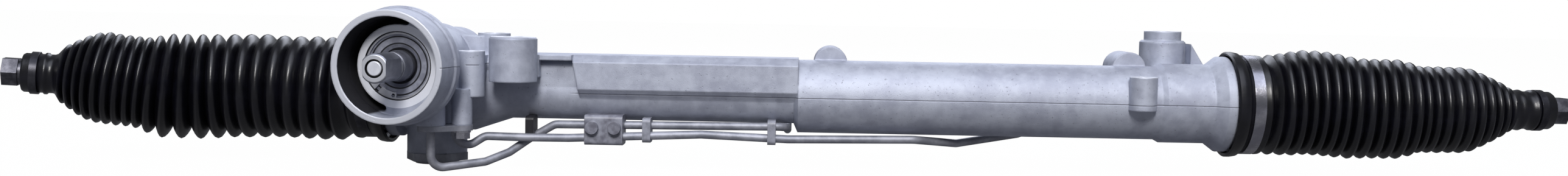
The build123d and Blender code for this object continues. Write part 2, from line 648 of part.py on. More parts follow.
def inner_seal_washer():
    x = CYLINDER_X + INNER_SEAL_L
    return tube_x(x, x + WASHER_T, CYLINDER_R, RACK_D / 2 + 1)


def rack_gland():
    """Plug that closes the cylinder and carries the right seal and bush."""
    lip = RACK_D / 2 + 1
    x0, x1 = GLAND_X
    body = turned_x((x0, lip), (x0, CYLINDER_R - RUNNING), (x1, CYLINDER_R - RUNNING), (x1, GLAND_NOSE_R),
                    (GLAND_NOSE_X, GLAND_NOSE_R), (GLAND_NOSE_X, lip))
    body -= tube_x(x0, x0 + RACK_SEAL_L, RACK_SEAL_R, 0)
    body -= tube_x(x1 - RACK_BUSH_L, x1, BUSH_R, 0)
    middle, r = (x0 + x1) / 2, CYLINDER_R - RUNNING
    return body - tube_x(middle - O_RING_R, middle + O_RING_R, r + 1, r - 2 * O_RING_R)


def gland_ring():
    """O-ring between gland and cylinder."""
    x = (GLAND_X[0] + GLAND_X[1]) / 2
    return Pos(x, 0, 0) * Rot(0, 90, 0) * Torus(CYLINDER_R - RUNNING - O_RING_R, O_RING_R)


def rack_seal():
    x, lip = GLAND_X[0], RACK_D / 2 + RUNNING
    return turned_x((x, lip + 2), (x + 2, lip), (x + 4, lip), (x + RACK_SEAL_L, lip + 2),
                    (x + RACK_SEAL_L, RACK_SEAL_R), (x, RACK_SEAL_R))


def rack_bush():
    x = GLAND_X[1] - RACK_BUSH_L
    return tube_x(x, x + RACK_BUSH_L, BUSH_R, RACK_D / 2 + RUNNING)


def gland_circlip():
    """Snap ring in the cylinder wall against the gland's shoulder."""
    x = GLAND_X[1]
    ring = tube_x(x, x + SNAP_W, CYLINDER_R + SNAP_PROUD, GLAND_NOSE_R + 0.6)
    return ring - block((x, x + SNAP_W), (-4, 4), (0, CYLINDER_R + SNAP_PROUD + 1))


# ---- housing -----------------------------------------------------------------------------------
def housing_core():
    """Everything that is round about the rack's axis."""
    taper = SHOULDER_R - END_R
    return turned_x(
        (LEFT_END_X, 0), (LEFT_END_X, SEAT_R - 1), (LEFT_END_X + 1, SEAT_R), (LEFT_SHOULDER_X, SEAT_R),
        (LEFT_SHOULDER_X, SHOULDER_R), (LEFT_SHOULDER_X + SHOULDER_L, SHOULDER_R),
        (LEFT_SHOULDER_X + SHOULDER_L + 3, GEAR_BODY_R), (GEAR_BODY_END_X, GEAR_BODY_R),
        (NARROW_START_X, NARROW_R), (CYLINDER_X - 3, NARROW_R), (CYLINDER_X, WIDE_R),
        (END_START_X - 4, WIDE_R), (END_START_X, END_R), (RIGHT_SHOULDER_X - SHOULDER_L - taper, END_R),
        (RIGHT_SHOULDER_X - SHOULDER_L + 2, SHOULDER_R), (RIGHT_SHOULDER_X, SHOULDER_R),
        (RIGHT_SHOULDER_X, SEAT_R), (RIGHT_END_X - 1, SEAT_R), (RIGHT_END_X, SEAT_R - 1), (RIGHT_END_X, 0),
    )


def beam_and_pad():
    """Stiffening beam along the narrow tube, with the flat pad on its front."""
    low, high = PAD_Z
    beam = Polyline(
        (-BEAM_Y, 0), (-BEAM_Y, high - 2), (-BEAM_Y + 6, BEAM_TOP_Z), (BEAM_Y - 8, BEAM_TOP_Z),
        (BEAM_Y, high - 5), (BEAM_Y, 0), close=True,
    )
    pad = Polyline(
        (PAD_Y, low), (PAD_Y, high), (PAD_Y + 8, BEAM_TOP_Z), (0, BEAM_TOP_Z), (0, -BEAM_Y / 2),
        (-BEAM_Y + 4, -BEAM_Y / 2), (PAD_Y + 5, low - 6), close=True,
    )
    body = Pos(BEAM_X, 0, 0) * extrude(Plane.YZ * make_face(beam), CYLINDER_X - BEAM_X)
    front = Pos(PAD_X, 0, 0) * extrude(Plane.YZ * make_face(pad), CYLINDER_X - PAD_X)
    slant = Plane.XZ * make_face(Polyline(
        (PAD_X - 1, high + 2), (PAD_X, high + 2), (PAD_X + PAD_SLANT, -BEAM_Y), (PAD_X - 1, -BEAM_Y), close=True,
    ))
    return body + (front - extrude(slant, -PAD_Y + 1))


def tower_outside():
    """Gear case, collar and the round shroud in front, about the pinion's axis."""
    case = turned_z((0, CASE_BACK_T), (CASE_R - 2, CASE_BACK_T), (CASE_R, CASE_BACK_T + 2),
                    (CASE_R, SHROUD_CONE_T), (0, SHROUD_CONE_T))
    collar = tube_z(0, COLLAR_T, COLLAR_R, 0)
    inner = SHROUD_FRONT_R - SHROUD_WALL
    shroud = turned_z(
        (0, SHROUD_CONE_T - 14), (CASE_R, SHROUD_CONE_T - 14), (COLLAR_R + 2, SHROUD_CONE_T),
        (SHROUD_BACK_R, SHROUD_BACK_T - 6), (SHROUD_BACK_R, SHROUD_BACK_T),
        (SHROUD_BACK_R - 1.6, SHROUD_BACK_T + 1.6), (SHROUD_FRONT_R, SHROUD_FRONT_T),
        (inner, SHROUD_FRONT_T), (inner, COLLAR_T), (0, COLLAR_T),
    )
    return case + collar + shroud


def tower_slot():
    """Crescent between collar and shroud, with round ends."""
    inner, top = COLLAR_R, SHROUD_FRONT_T + 1
    outer = inner + SLOT_W
    cut = sector(outer, inner, (SLOT_FLOOR_T, top), SLOT_START, SLOT_SWEEP)
    for angle in (SLOT_START, SLOT_START + SLOT_SWEEP):
        end = Rot(0, 0, angle) * Pos(inner + SLOT_W / 2, 0, 0)
        cut += end * tube_z(SLOT_FLOOR_T, COLLAR_T + 1, SLOT_W / 2, 0)
    return cut


def tower_bores():
    """Stepped bore for pinion, valve, bearings and seals."""
    lower = LOWER_BEARING_D / 2
    back, front = CASE_BACK_T - 1, COLLAR_T + 1
    mouth = SEAL_BORE_D / 2
    circlip_r = mouth + CIRCLIP_DEPTH
    return turned_z(
        (0, back), (lower, back), (lower, LOWER_BEARING_T + LOWER_BEARING_L),
        (MESH_BORE_D / 2, LOWER_BEARING_T + LOWER_BEARING_L), (MESH_BORE_D / 2, BUSH_T),
        (BUSH_BORE_D / 2, BUSH_T), (BUSH_BORE_D / 2, VALVE_BORE_T), (VALVE_BORE_D / 2, VALVE_BORE_T),
        (VALVE_BORE_D / 2, BEARING_T), (BEARING_BORE_D / 2, BEARING_T),
        (BEARING_BORE_D / 2, BEARING_T + BEARING_L), (mouth, BEARING_T + BEARING_L),
        (mouth, CIRCLIP_T), (circlip_r, CIRCLIP_T), (circlip_r, CIRCLIP_T + CIRCLIP_L),
        (mouth, CIRCLIP_T + CIRCLIP_L), (mouth, front), (0, front),
    )


def rack_bores():
    """Passage for the rack, cylinder bore and the open ends for the ball sockets."""
    left_stop = -BAR_LEFT_X + TRAVEL_RIGHT + STOP_GAP
    open_r = SOCKET_R + 2
    groove = CYLINDER_R + SNAP_PROUD
    x = GLAND_X[1]
    return turned_x(
        (LEFT_END_X - 1, 0), (LEFT_END_X - 1, open_r), (left_stop, open_r), (left_stop, RACK_PASSAGE_R),
        (CYLINDER_X, RACK_PASSAGE_R), (CYLINDER_X, CYLINDER_R), (x, CYLINDER_R), (x, groove),
        (x + SNAP_W, groove), (x + SNAP_W, CYLINDER_R), (RIGHT_END_X + 1, CYLINDER_R), (RIGHT_END_X + 1, 0),
    )


def eye(centre, z, neck):
    """Mounting eye with its bore left solid."""
    top = z[1] - (RIGHT_NECK_L if neck else 0)
    body = post(centre, (z[0], top), EYE_R)
    body = chamfer(body.edges().group_by(Axis.Z)[-1], 1.5)
    if neck:
        body += post(centre, (top, z[1]), RIGHT_NECK_R)
    return body


def bosses():
    """Eyes, hose ports, pipe seats and the webs that tie them to the tubes."""
    x, y = LEFT_EYE
    parts = [eye(LEFT_EYE, LEFT_EYE_Z, False), eye(RIGHT_EYE, RIGHT_EYE_Z, True)]
    parts.append(block((x, PAD_X), (y + 8, 0), (BEAM_TOP_Z - 4, BEAM_TOP_Z)))
    parts.append(block((x - EYE_R, x + EYE_R), (y + 6, 0), (LEFT_EYE_Z[0] + 3, BEAM_TOP_Z)))
    x, y = RIGHT_EYE
    parts.append(block((x - 12, x + 12), (0, y), (RIGHT_EYE_Z[0], END_R - 3)))
    web = Polyline((x + EYE_R - 2, RIGHT_EYE_Z[1] - RIGHT_NECK_L - 2), (x + EYE_R - 2, 0),
                   (x + EYE_R + 12, 0), (x + EYE_R + 12, END_R - 8), close=True)
    parts.append(Pos(0, y - 4, 0) * extrude(Plane.XZ * make_face(web), 20))
    for px in PORT_X:
        parts.append(rod((px, 0, PORT_Z), (px, PORT_MOUTH_Y, PORT_Z), PORT_R))
    parts.append(post(FRONT_BOSS, FRONT_BOSS_Z, FRONT_BOSS_R))
    parts.append(post(PRESSURE_PORT, PRESSURE_PORT_Z, PRESSURE_PORT_R))
    px, py = PRESSURE_PORT
    parts.append(block((px - 6, px + 6), (py, 0), (PRESSURE_PORT_Z[0], PRESSURE_PORT_Z[1] - 4)))
    parts.append(post(RETURN_PORT, RETURN_PORT_Z, RETURN_PORT_R))
    px, py = RETURN_PORT
    parts.append(block((PINION_X, px), (py - 11, py + 11), (0, RETURN_PORT_Z[1] - 2)))
    seat_top = FLANGE_Z + FLANGE_T
    parts.append(post(FLANGE_BOLT, (seat_top, BOLT_BOSS_TOP_Z), BOLT_BOSS_R))
    for place in (PIPE_A, PIPE_B):
        parts.append(post(place, (seat_top, PINION_Z - COLLAR_R + 8), PIPE_BOSS_R))
    px, py = PIPE_B
    parts.append(block((px - 4, px + 5), (py - 8, 0), (seat_top, PRESSURE_PORT_Z[1] - 20)))
    return parts


def boss_holes():
    """Bores and threads of the eyes, ports and bosses."""
    holes = []
    for centre, z in ((LEFT_EYE, LEFT_EYE_Z), (RIGHT_EYE, RIGHT_EYE_Z)):
        holes.append(post(centre, (z[0] - 1, z[1] + 1), EYE_BORE_R))
    for px in PORT_X:
        holes.append(rod((px, PORT_MOUTH_Y - UNION_GRIP, PORT_Z), (px, PORT_MOUTH_Y + 1, PORT_Z), PORT_THREAD_R))
        holes.append(rod((px, 0, PORT_Z - 6), (px, PORT_MOUTH_Y, PORT_Z), PORT_DRILL_R))
    top = FRONT_BOSS_Z[1]
    holes.append(post(FRONT_BOSS, (top - FRONT_THREAD_L, top + 1), FRONT_THREAD_R))
    top = PRESSURE_PORT_Z[1]
    holes.append(post(PRESSURE_PORT, (top - PORT_THREAD_L, top + 1), PRESSURE_THREAD_R))
    top = RETURN_PORT_Z[1]
    holes.append(post(RETURN_PORT, (top - PORT_THREAD_L, top + 1), RETURN_THREAD_R))
    seat = FLANGE_Z + FLANGE_T
    holes.append(post(FLANGE_BOLT, (seat - 1, FLANGE_Z + BOLT_L - 2), BOLT_R))
    for place in (PIPE_A, PIPE_B):
        holes.append(post(place, (seat - 1, PIPE_TOP_Z), PIPE_D / 2))
        holes.append(post(place, (seat - 1, seat + PIPE_RING_T), PIPE_D / 2 + PIPE_RING_T))
    return holes


def main_housing():
    """One casting: gear case, valve tower, rack tube, cylinder and mounting eyes."""
    body = housing_core() + beam_and_pad() + TOWER * tower_outside() + bosses()
    body += post((PINION_X, 0), (YOKE_BOSS_Z, 0), YOKE_BOSS_R)
    body -= TOWER * tower_slot()
    body -= TOWER * tower_bores()
    body -= rack_bores()
    body -= post((PINION_X, 0), (YOKE_BOSS_Z - 1, 0), YOKE_R)
    return body - boss_holes()


# ---- pipes and what holds them --------------------------------------------------------------------
def pipe_solid(points, radius):
    """Round bar along straight runs joined by arcs."""
    path = FilletPolyline(*points, radius=PIPE_BEND_R)
    section = Plane(origin=path @ 0, z_dir=path % 0) * Circle(radius)
    return sweep(section, path=path)


def pipe_routes():
    """Centre lines from the flange under the tower to each end of the cylinder."""
    (ax, ay), (bx, by) = PIPE_A, PIPE_B
    left, right = PORT_X
    mouth, back = PORT_MOUTH_Y - 1, PORT_MOUTH_Y + 18
    front = (
        (ax, ay, PIPE_TOP_Z), (ax, ay, -53), (-216, -38, -49.5), (-201, -27, -43.5), (-188, -15.5, -34),
        (-170, -15, -23.5), (2.5, -15, -22), (2.5, 5, -26), (2.5, 26, -20), (16, 44, -2),
        (left, back, 8), (left, back, PORT_Z), (left, mouth, PORT_Z),
    )
    rear = (
        (bx, by, PIPE_TOP_Z), (bx, by, -45), (-218, -31, -31.5), (-190, -26, -32.5), (-158, -24, -32.5),
        (-61, -20, -28.5), (3, -18, -31), (96, -12.5, -30), (130, 6, -34), (180, 28, -28),
        (235, 46, -8), (right, back, 6), (right, back, PORT_Z), (right, mouth, PORT_Z),
    )
    return front, rear


def transfer_pipe(route):
    """Steel pipe; its bore is left out."""
    return pipe_solid(pipe_routes()[route], PIPE_D / 2)


def union_nuts():
    """Hexagon nuts that hold the pipes in the cylinder's two ports."""
    nuts = []
    for px in PORT_X:
        nut = hexagon(UNION_ACROSS, 0, UNION_L - UNION_GRIP) + tube_z(-UNION_GRIP, 0, PORT_THREAD_R, 0)
        nut -= tube_z(-UNION_GRIP, UNION_L - UNION_GRIP, PIPE_D / 2, 0)
        place = Plane(origin=(px, PORT_MOUTH_Y, PORT_Z), x_dir=(1, 0, 0), z_dir=(0, 1, 0)).location
        nuts.append(place * nut)
    return nuts


def pipe_flange():
    """Plate that clamps both pipes under the tower with one bolt."""
    edges = [Pos(*place, 0) * Circle(r).edge() for place, r in (
        (PIPE_A, PIPE_BOSS_R - 0.5), (PIPE_B, PIPE_BOSS_R - 1.5), (FLANGE_BOLT, BOLT_BOSS_R + 0.5)
    )]
    plate = Pos(0, 0, FLANGE_Z) * extrude(make_hull(edges), FLANGE_T)
    for place, r in ((PIPE_A, PIPE_D / 2), (PIPE_B, PIPE_D / 2), (FLANGE_BOLT, BOLT_R)):
        plate -= post(place, (FLANGE_Z - 1, FLANGE_Z + FLANGE_T + 1), r)
    return plate


def pipe_o_rings():
    """Square rings round each pipe above the flange."""
    seat = FLANGE_Z + FLANGE_T
    return [
        post(place, (seat, seat + PIPE_RING_T), PIPE_D / 2 + PIPE_RING_T)
        - post(place, (seat, seat + PIPE_RING_T), PIPE_D / 2)
        for place in (PIPE_A, PIPE_B)
    ]


def flange_bolt():
    """Flanged hexagon bolt from below."""
    head = hexagon(BOLT_HEAD_R * 1.75, -BOLT_HEAD_L, 0) + tube_z(-1.5, 0, BOLT_HEAD_R + 0.6, 0)
    head += tube_z(0, BOLT_L - 3, BOLT_R, 0)
    return Pos(*FLANGE_BOLT, FLANGE_Z) * head


def pipe_bars():
    return [pipe_solid(route, PIPE_D / 2) for route in pipe_routes()]


def pipe_clip():
    """Moulded saddle that snaps over both pipes, with two round knobs in front."""
    span = (CLIP_X, CLIP_X + CLIP_L)
    body = block(span, (-29, -9), (-37, -15))
    body = fillet(body.edges().filter_by(Axis.X), 3)
    body -= rod((span[0] - 1, 0, 0), (span[1] + 1, 0, 0), NARROW_R)
    body -= pipe_bars()
    for k in (-1, 1):
        x = CLIP_X + CLIP_L / 2 + k * CLIP_KNOB_PITCH / 2
        body += rod((x, -28, -24), (x, -29 - CLIP_KNOB_L, -24), CLIP_KNOB_R)
    return body


def pipe_straps():
    """Narrow clips that hold the pipes further along."""
    straps = []
    for x in STRAP_X:
        strap = block((x, x + STRAP_L), (-25, -9), (-35, -17))
        strap = fillet(strap.edges().filter_by(Axis.X), 3)
        straps.append(strap - rod((x - 1, 0, 0), (x + STRAP_L + 1, 0, 0), NARROW_R) - pipe_bars())
    return straps


# ---- ball joints and tie rods ------------------------------------------------------------------
def tilt_of(side):
    return LEFT_TILT if side < 0 else RIGHT_TILT


def turn_of(side):
    return LEFT_TURN if side < 0 else RIGHT_TURN


def end_of(side):
    """Distance of the bar's end face from the middle."""
    return BAR_LEFT_X if side < 0 else BAR_RIGHT_X


def ball_of(side):
    """Distance of the ball's centre from the middle."""
    return end_of(side) + BALL_PAST_END


def aimed(side, tilt, turn):
    """Outward direction that is raised by one angle and swung to the front by another."""
    up, front = radians(tilt), radians(turn)
    return Vector(side * cos(up) * cos(front), -sin(front), sin(up) * cos(front))


def facing(origin, side, tilt, turn):
    """Plane that faces an aimed direction, with its Y axis up."""
    up, front = radians(tilt), radians(turn)
    across = (cos(up) * sin(front), side * cos(front), side * sin(up) * sin(front))
    return Plane(origin=origin, x_dir=across, z_dir=aimed(side, tilt, turn))


def rod_frame(side):
    """Ball centre, with Z out along the stored tie rod and Y up from it."""
    return facing((side * ball_of(side), 0, 0), side, tilt_of(side), turn_of(side)).location


def seat_frame(side):
    """Ball centre, with Z raised as the tie rod is, and not swung."""
    return facing((side * ball_of(side), 0, 0), side, tilt_of(side), 0).location


def rack_frame(side):
    """Ball centre, with Z out along the rack."""
    return facing((side * ball_of(side), 0, 0), side, 0, 0).location


def ball_housing(side):
    """Socket that screws into the rack's end, with two wrench flats."""
    back = -BALL_PAST_END
    cavity = BALL_R + BALL_SEAT_T + RUNNING
    body = turned_z(
        (0, back - STUD_L + 2), (STUD_R - 1, back - STUD_L + 2), (STUD_R, back - STUD_L + 3), (STUD_R, back),
        (SOCKET_R - 1, back), (SOCKET_R, back + 1), (SOCKET_R, 0), (SOCKET_R - 3, SOCKET_LIP), (0, SOCKET_LIP),
    )
    body -= Sphere(cavity)
    for s in (-1, 1):
        flat = block((SOCKET_FLATS / 2, SOCKET_R + 1), (-SOCKET_R, SOCKET_R), (back + 3, back + 13))
        body -= Rot(0, 0, 90 - 90 * s) * flat
    return rack_frame(side) * body


def ball_seat(side):
    """Plastic cup round the ball, open towards the rod."""
    outer, inner = BALL_R + BALL_SEAT_T, BALL_R + RUNNING
    shell = Sphere(outer) - Sphere(inner)
    reach = outer * 2
    mouth = reach * tan(radians(SEAT_MOUTH))
    shell -= turned_z((0, 0), (mouth, reach), (0, reach))
    shell -= tube_z(-reach, 0, SEAT_HOLE_R, 0)
    return seat_frame(side) * shell


def tie_rod(side):
    """Ball, waisted neck, shank, boot seat and the hexagon with the inner thread."""
    start = sqrt(BALL_R ** 2 - NECK_R ** 2) - 0.5
    hex_at = ROD_REACH - HEX_L
    shank = turned_z(
        (0, start), (NECK_R, start), (NECK_R, NECK_L), (ROD_R, NECK_L + 5),
        (ROD_R, hex_at - CUFF_SEAT_L - 2), (CUFF_SEAT_R, hex_at - CUFF_SEAT_L), (CUFF_SEAT_R, hex_at),
        (0, hex_at),
    )
    body = Sphere(BALL_R) + shank + hexagon(HEX_ACROSS, hex_at, ROD_REACH)
    body -= tube_z(ROD_REACH - ROD_THREAD_L, ROD_REACH + 1, ROD_THREAD_R, 0)
    return rod_frame(side) * body


# ---- boots and their clamps ------------------------------------------------------------------------
def boot_places(side):
    """(end of housing, big crests, small crests, neck, trough depth, bend) as distances from the middle."""
    if side < 0:
        return -LEFT_SHOULDER_X, LEFT_BIG_X, LEFT_SMALL_X, LEFT_NECK_X, LEFT_TROUGH, LEFT_BEND_X
    return RIGHT_SHOULDER_X, RIGHT_BIG_X, RIGHT_SMALL_X, RIGHT_NECK_X, RIGHT_TROUGH, RIGHT_BEND_X


def boot_profile(side):
    """Outer (distance, radius) pairs from the bead to the neck."""
    seat, big, small, neck, trough, _ = boot_places(side)
    cuff, neck_r = SEAT_R + CUFF_WALL, CUFF_SEAT_R + NECK_CUFF_WALL
    points = [(seat, cuff + BEAD_PROUD), (seat + BEAD_L, cuff + BEAD_PROUD), (seat + BEAD_L + 1, cuff)]
    pitch = (big[1] - big[0]) / (BIG_CRESTS - 1)
    points.append((big[0] - pitch * 0.6, cuff))
    for k in range(BIG_CRESTS):
        points.append((big[0] + k * pitch, BIG_CREST_R))
        points.append((big[0] + (k + 0.5) * pitch, BIG_CREST_R - trough))
    pitch = (small[1] - small[0]) / (SMALL_CRESTS - 1)
    for k in range(SMALL_CRESTS):
        x = small[0] + k * pitch
        cone = max(0.0, (x - CONE_SHARE * small[0] - (1 - CONE_SHARE) * small[1]) / (neck[0] - small[0]))
        crest = SMALL_CREST_R - (SMALL_CREST_R - neck_r) * cone * CONE_STEEP
        points.append((x, crest))
        points.append((x + pitch / 2, crest - trough * SMALL_TROUGH_SHARE))
    points += [(neck[0], neck_r), (neck[1], neck_r)]
    return points


def eased(value, start, end):
    """Share of the way between two places, from 0 to 1, with a soft start and end."""
    share = min(1.0, max(0.0, (value - start) / (end - start)))
    return share * share * (3 - 2 * share)


def bent_place(side, distance):
    """Plane of a boot's ring: straight by the rack, then turning to lie along the rod."""
    share = eased(distance, boot_places(side)[5], boot_places(side)[3][0])
    tilt, turn = tilt_of(side) * share, turn_of(side) * share
    reach = distance - ball_of(side)
    origin = Vector(side * distance, 0, 0)
    if reach > 0:
        origin = Vector(side * ball_of(side), 0, 0) + reach * aimed(side, tilt, turn)
    return facing(origin, side, tilt, turn_of(side) * eased(distance, *RING_TURN_X))


def boot(side):
    """Corrugated rubber boot, bent to meet the stored rod."""
    outline = boot_profile(side)
    outer = loft([bent_place(side, x) * Circle(r) for x, r in outline], ruled=True)
    inner_line = []
    for k, (x, r) in enumerate(outline):
        if k < 4:
            inner_line.append((x, SEAT_R))
        elif k >= len(outline) - 2:
            inner_line.append((x, CUFF_SEAT_R))
        else:
            inner_line.append((x, r - BOOT_WALL))
    inner = loft([bent_place(side, x) * Circle(r) for x, r in inner_line], ruled=True)
    return outer - inner


def boot_clamp(side):
    """Steel band round the boot's big cuff, with the pinched ear at the back."""
    r = SEAT_R + CUFF_WALL + RUNNING
    x = boot_places(side)[0] + CLAMP_INSET
    band = tube_z(x, x + CLAMP_W, r + CLAMP_T, r)
    ear = block((r + CLAMP_T - 0.4, r + CLAMP_T + 3), (-1.6, 1.6), (x, x + CLAMP_W))
    place = Plane(origin=(0, 0, 0), x_dir=(0, 1, 0), z_dir=(side, 0, 0)).location
    return place * (band + ear)


def neck_clip(side):
    """Spring ring round the boot's neck."""
    r = CUFF_SEAT_R + NECK_CUFF_WALL + RUNNING
    start, end = boot_places(side)[3]
    at = bent_place(side, (start + end) / 2).location
    ring = tube_z(0, NECK_CLIP_W, r + NECK_CLIP_T, r)
    return at * ring


# ---- every node ----------------------------------------------------------------------------------
def all_nodes():
    """Node name and its solid, or list of solids."""
    sides = (("left", -1), ("right", 1))
    nodes = {
        "main_housing": main_housing(),
        "rack_bar": rack_bar(),
        "piston": piston(),
        "piston_ring": piston_ring(),
        "piston_snap_rings": piston_snap_rings(),
        "pinion": pinion(),
        "valve_sleeve": valve_sleeve(),
        "valve_rings": valve_rings(),
        "input_shaft": input_shaft(),
        "torsion_bar": torsion_bar(),
        "torsion_pin": torsion_pin(),
        "pinion_bush": pinion_bush(),
        "lower_bearing_outer": lower_bearing_outer(),
        "lower_bearing_inner": lower_bearing_inner(),
        "lower_bearing_balls": lower_bearing_balls(),
        "pinion_nut": pinion_nut(),
        "lower_cap": lower_cap(),
        "input_bearing": input_bearing(),
        "input_seal": input_seal(),
        "seal_circlip": seal_circlip(),
        "yoke": yoke(),
        "yoke_ring": yoke_ring(),
        "yoke_liner": yoke_liner(),
        "yoke_spring": yoke_spring(),
        "yoke_plug": yoke_plug(),
        "yoke_lock_nut": yoke_lock_nut(),
        "inner_rack_seal": inner_rack_seal(),
        "inner_seal_washer": inner_seal_washer(),
        "rack_gland": rack_gland(),
        "gland_ring": gland_ring(),
        "rack_seal": rack_seal(),
        "rack_bush": rack_bush(),
        "gland_circlip": gland_circlip(),
        "transfer_pipe_left": transfer_pipe(0),
        "transfer_pipe_right": transfer_pipe(1),
        "union_nuts": union_nuts(),
        "pipe_flange": pipe_flange(),
        "pipe_o_rings": pipe_o_rings(),
        "flange_bolt": flange_bolt(),
        "pipe_clip": pipe_clip(),
        "pipe_straps": pipe_straps(),
    }
    for name, side in sides:
        nodes["ball_housing_" + name] = ball_housing(side)
        nodes["ball_seat_" + name] = ball_seat(side)
        nodes["tie_rod_" + name] = tie_rod(side)
        nodes["boot_" + name] = boot(side)
        nodes["boot_clamp_" + name] = boot_clamp(side)
        nodes["neck_clip_" + name] = neck_clip(side)
    return nodes


def write_node(name, shape):
    """Writes one node's solids in the frame whose origin is the left eye."""
    to_eye = Pos(*[-value for value in ORIGIN])
    pieces = shape if isinstance(shape, list) else [shape]
    solids = [to_eye * solid for piece in pieces for solid in piece.solids()]
    export_step(Compound(children=solids), "parts/" + name + ".step")


if __name__ == "__main__":
    os.makedirs("parts", exist_ok=True)
    for node_name, node_shape in all_nodes().items():
        write_node(node_name, node_shape)
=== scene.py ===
"""Looks, bellows and studio of a hydraulic steering rack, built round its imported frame.

Lengths in the classes are millimetres about the rack's own axis: X along the bar, -Y to the
front, Z up. `at` turns them into the frame's metres.
"""

import json
import logging
import math
from dataclasses import dataclass
from enum import Enum
from typing import Protocol, Sequence

import bpy
from mathutils import Matrix, Vector

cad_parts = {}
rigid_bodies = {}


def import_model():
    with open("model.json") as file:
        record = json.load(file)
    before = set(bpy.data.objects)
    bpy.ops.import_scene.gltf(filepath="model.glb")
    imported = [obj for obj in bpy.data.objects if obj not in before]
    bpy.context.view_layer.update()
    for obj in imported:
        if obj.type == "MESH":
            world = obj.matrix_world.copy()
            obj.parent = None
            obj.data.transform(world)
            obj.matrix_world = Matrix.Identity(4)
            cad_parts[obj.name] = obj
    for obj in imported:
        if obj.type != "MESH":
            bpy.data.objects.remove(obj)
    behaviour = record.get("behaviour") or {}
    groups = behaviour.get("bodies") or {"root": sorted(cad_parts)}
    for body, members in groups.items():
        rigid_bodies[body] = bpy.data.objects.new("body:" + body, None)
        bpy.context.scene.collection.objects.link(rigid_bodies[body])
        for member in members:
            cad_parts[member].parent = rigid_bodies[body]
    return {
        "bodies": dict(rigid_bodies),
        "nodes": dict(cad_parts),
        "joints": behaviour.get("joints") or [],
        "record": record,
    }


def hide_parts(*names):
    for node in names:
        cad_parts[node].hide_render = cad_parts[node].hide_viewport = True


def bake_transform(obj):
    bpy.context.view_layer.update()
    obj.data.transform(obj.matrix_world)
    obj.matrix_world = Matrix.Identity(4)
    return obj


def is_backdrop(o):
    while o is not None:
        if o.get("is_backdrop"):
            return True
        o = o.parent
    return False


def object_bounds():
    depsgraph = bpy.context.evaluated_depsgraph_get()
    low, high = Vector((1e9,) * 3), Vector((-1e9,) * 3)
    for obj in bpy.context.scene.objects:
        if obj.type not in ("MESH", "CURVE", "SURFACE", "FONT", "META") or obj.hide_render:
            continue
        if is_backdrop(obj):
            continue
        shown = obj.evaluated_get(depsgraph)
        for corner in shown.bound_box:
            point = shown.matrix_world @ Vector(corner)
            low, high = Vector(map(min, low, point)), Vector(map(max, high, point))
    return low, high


LOG = logging.getLogger("steering_rack")
MM = 0.001
RACK_ORIGIN = Vector((-197.0, -35.0, 25.25))

Colour = tuple[float, float, float]
Triple = tuple[float, float, float]
Pair = tuple[float, float]


def at(x: float, y: float, z: float) -> Vector:
    """Point of the frame, in metres, from millimetres about the rack's axis."""
    return (Vector((x, y, z)) - RACK_ORIGIN) * MM


def eased(value: float, start: float, end: float) -> float:
    """Share of the way from start to end, with a soft start and stop."""
    share = min(1.0, max(0.0, (value - start) / (end - start)))
    return share * share * (3 - 2 * share)


def keyed(keys: Sequence[Pair], place: float) -> float:
    """Reads a soft line through (place, value) keys.

    Args:
        keys: The keys, in rising order of place.
        place: Where to read the line.

    Returns:
        The value, held beyond the first and last key.
    """
    if place <= keys[0][0]:
        return keys[0][1]
    for (start, low), (end, high) in zip(keys, keys[1:]):
        if place <= end:
            return low + (high - low) * eased(place, start, end)
    return keys[-1][1]


# ---- shader writing ----------------------------------------------------------------------
WHITE = (1.0, 1.0, 1.0)
PER_METRE = (1000.0, 1000.0, 1000.0)
UNTURNED = (0.0, 0.0, 0.0)
UNSTRETCHED = (1.0, 1.0, 1.0)
BEVEL_SAMPLES = 6
RACK_CENTRE = at(0.0, 0.0, 0.0)

# A point on the valve tower's axis, and the degrees by which the axis is turned about Z.
TOWER_FOOT = at(-261.5, 0.0, 20.827)
TOWER_LEAN = 5.0


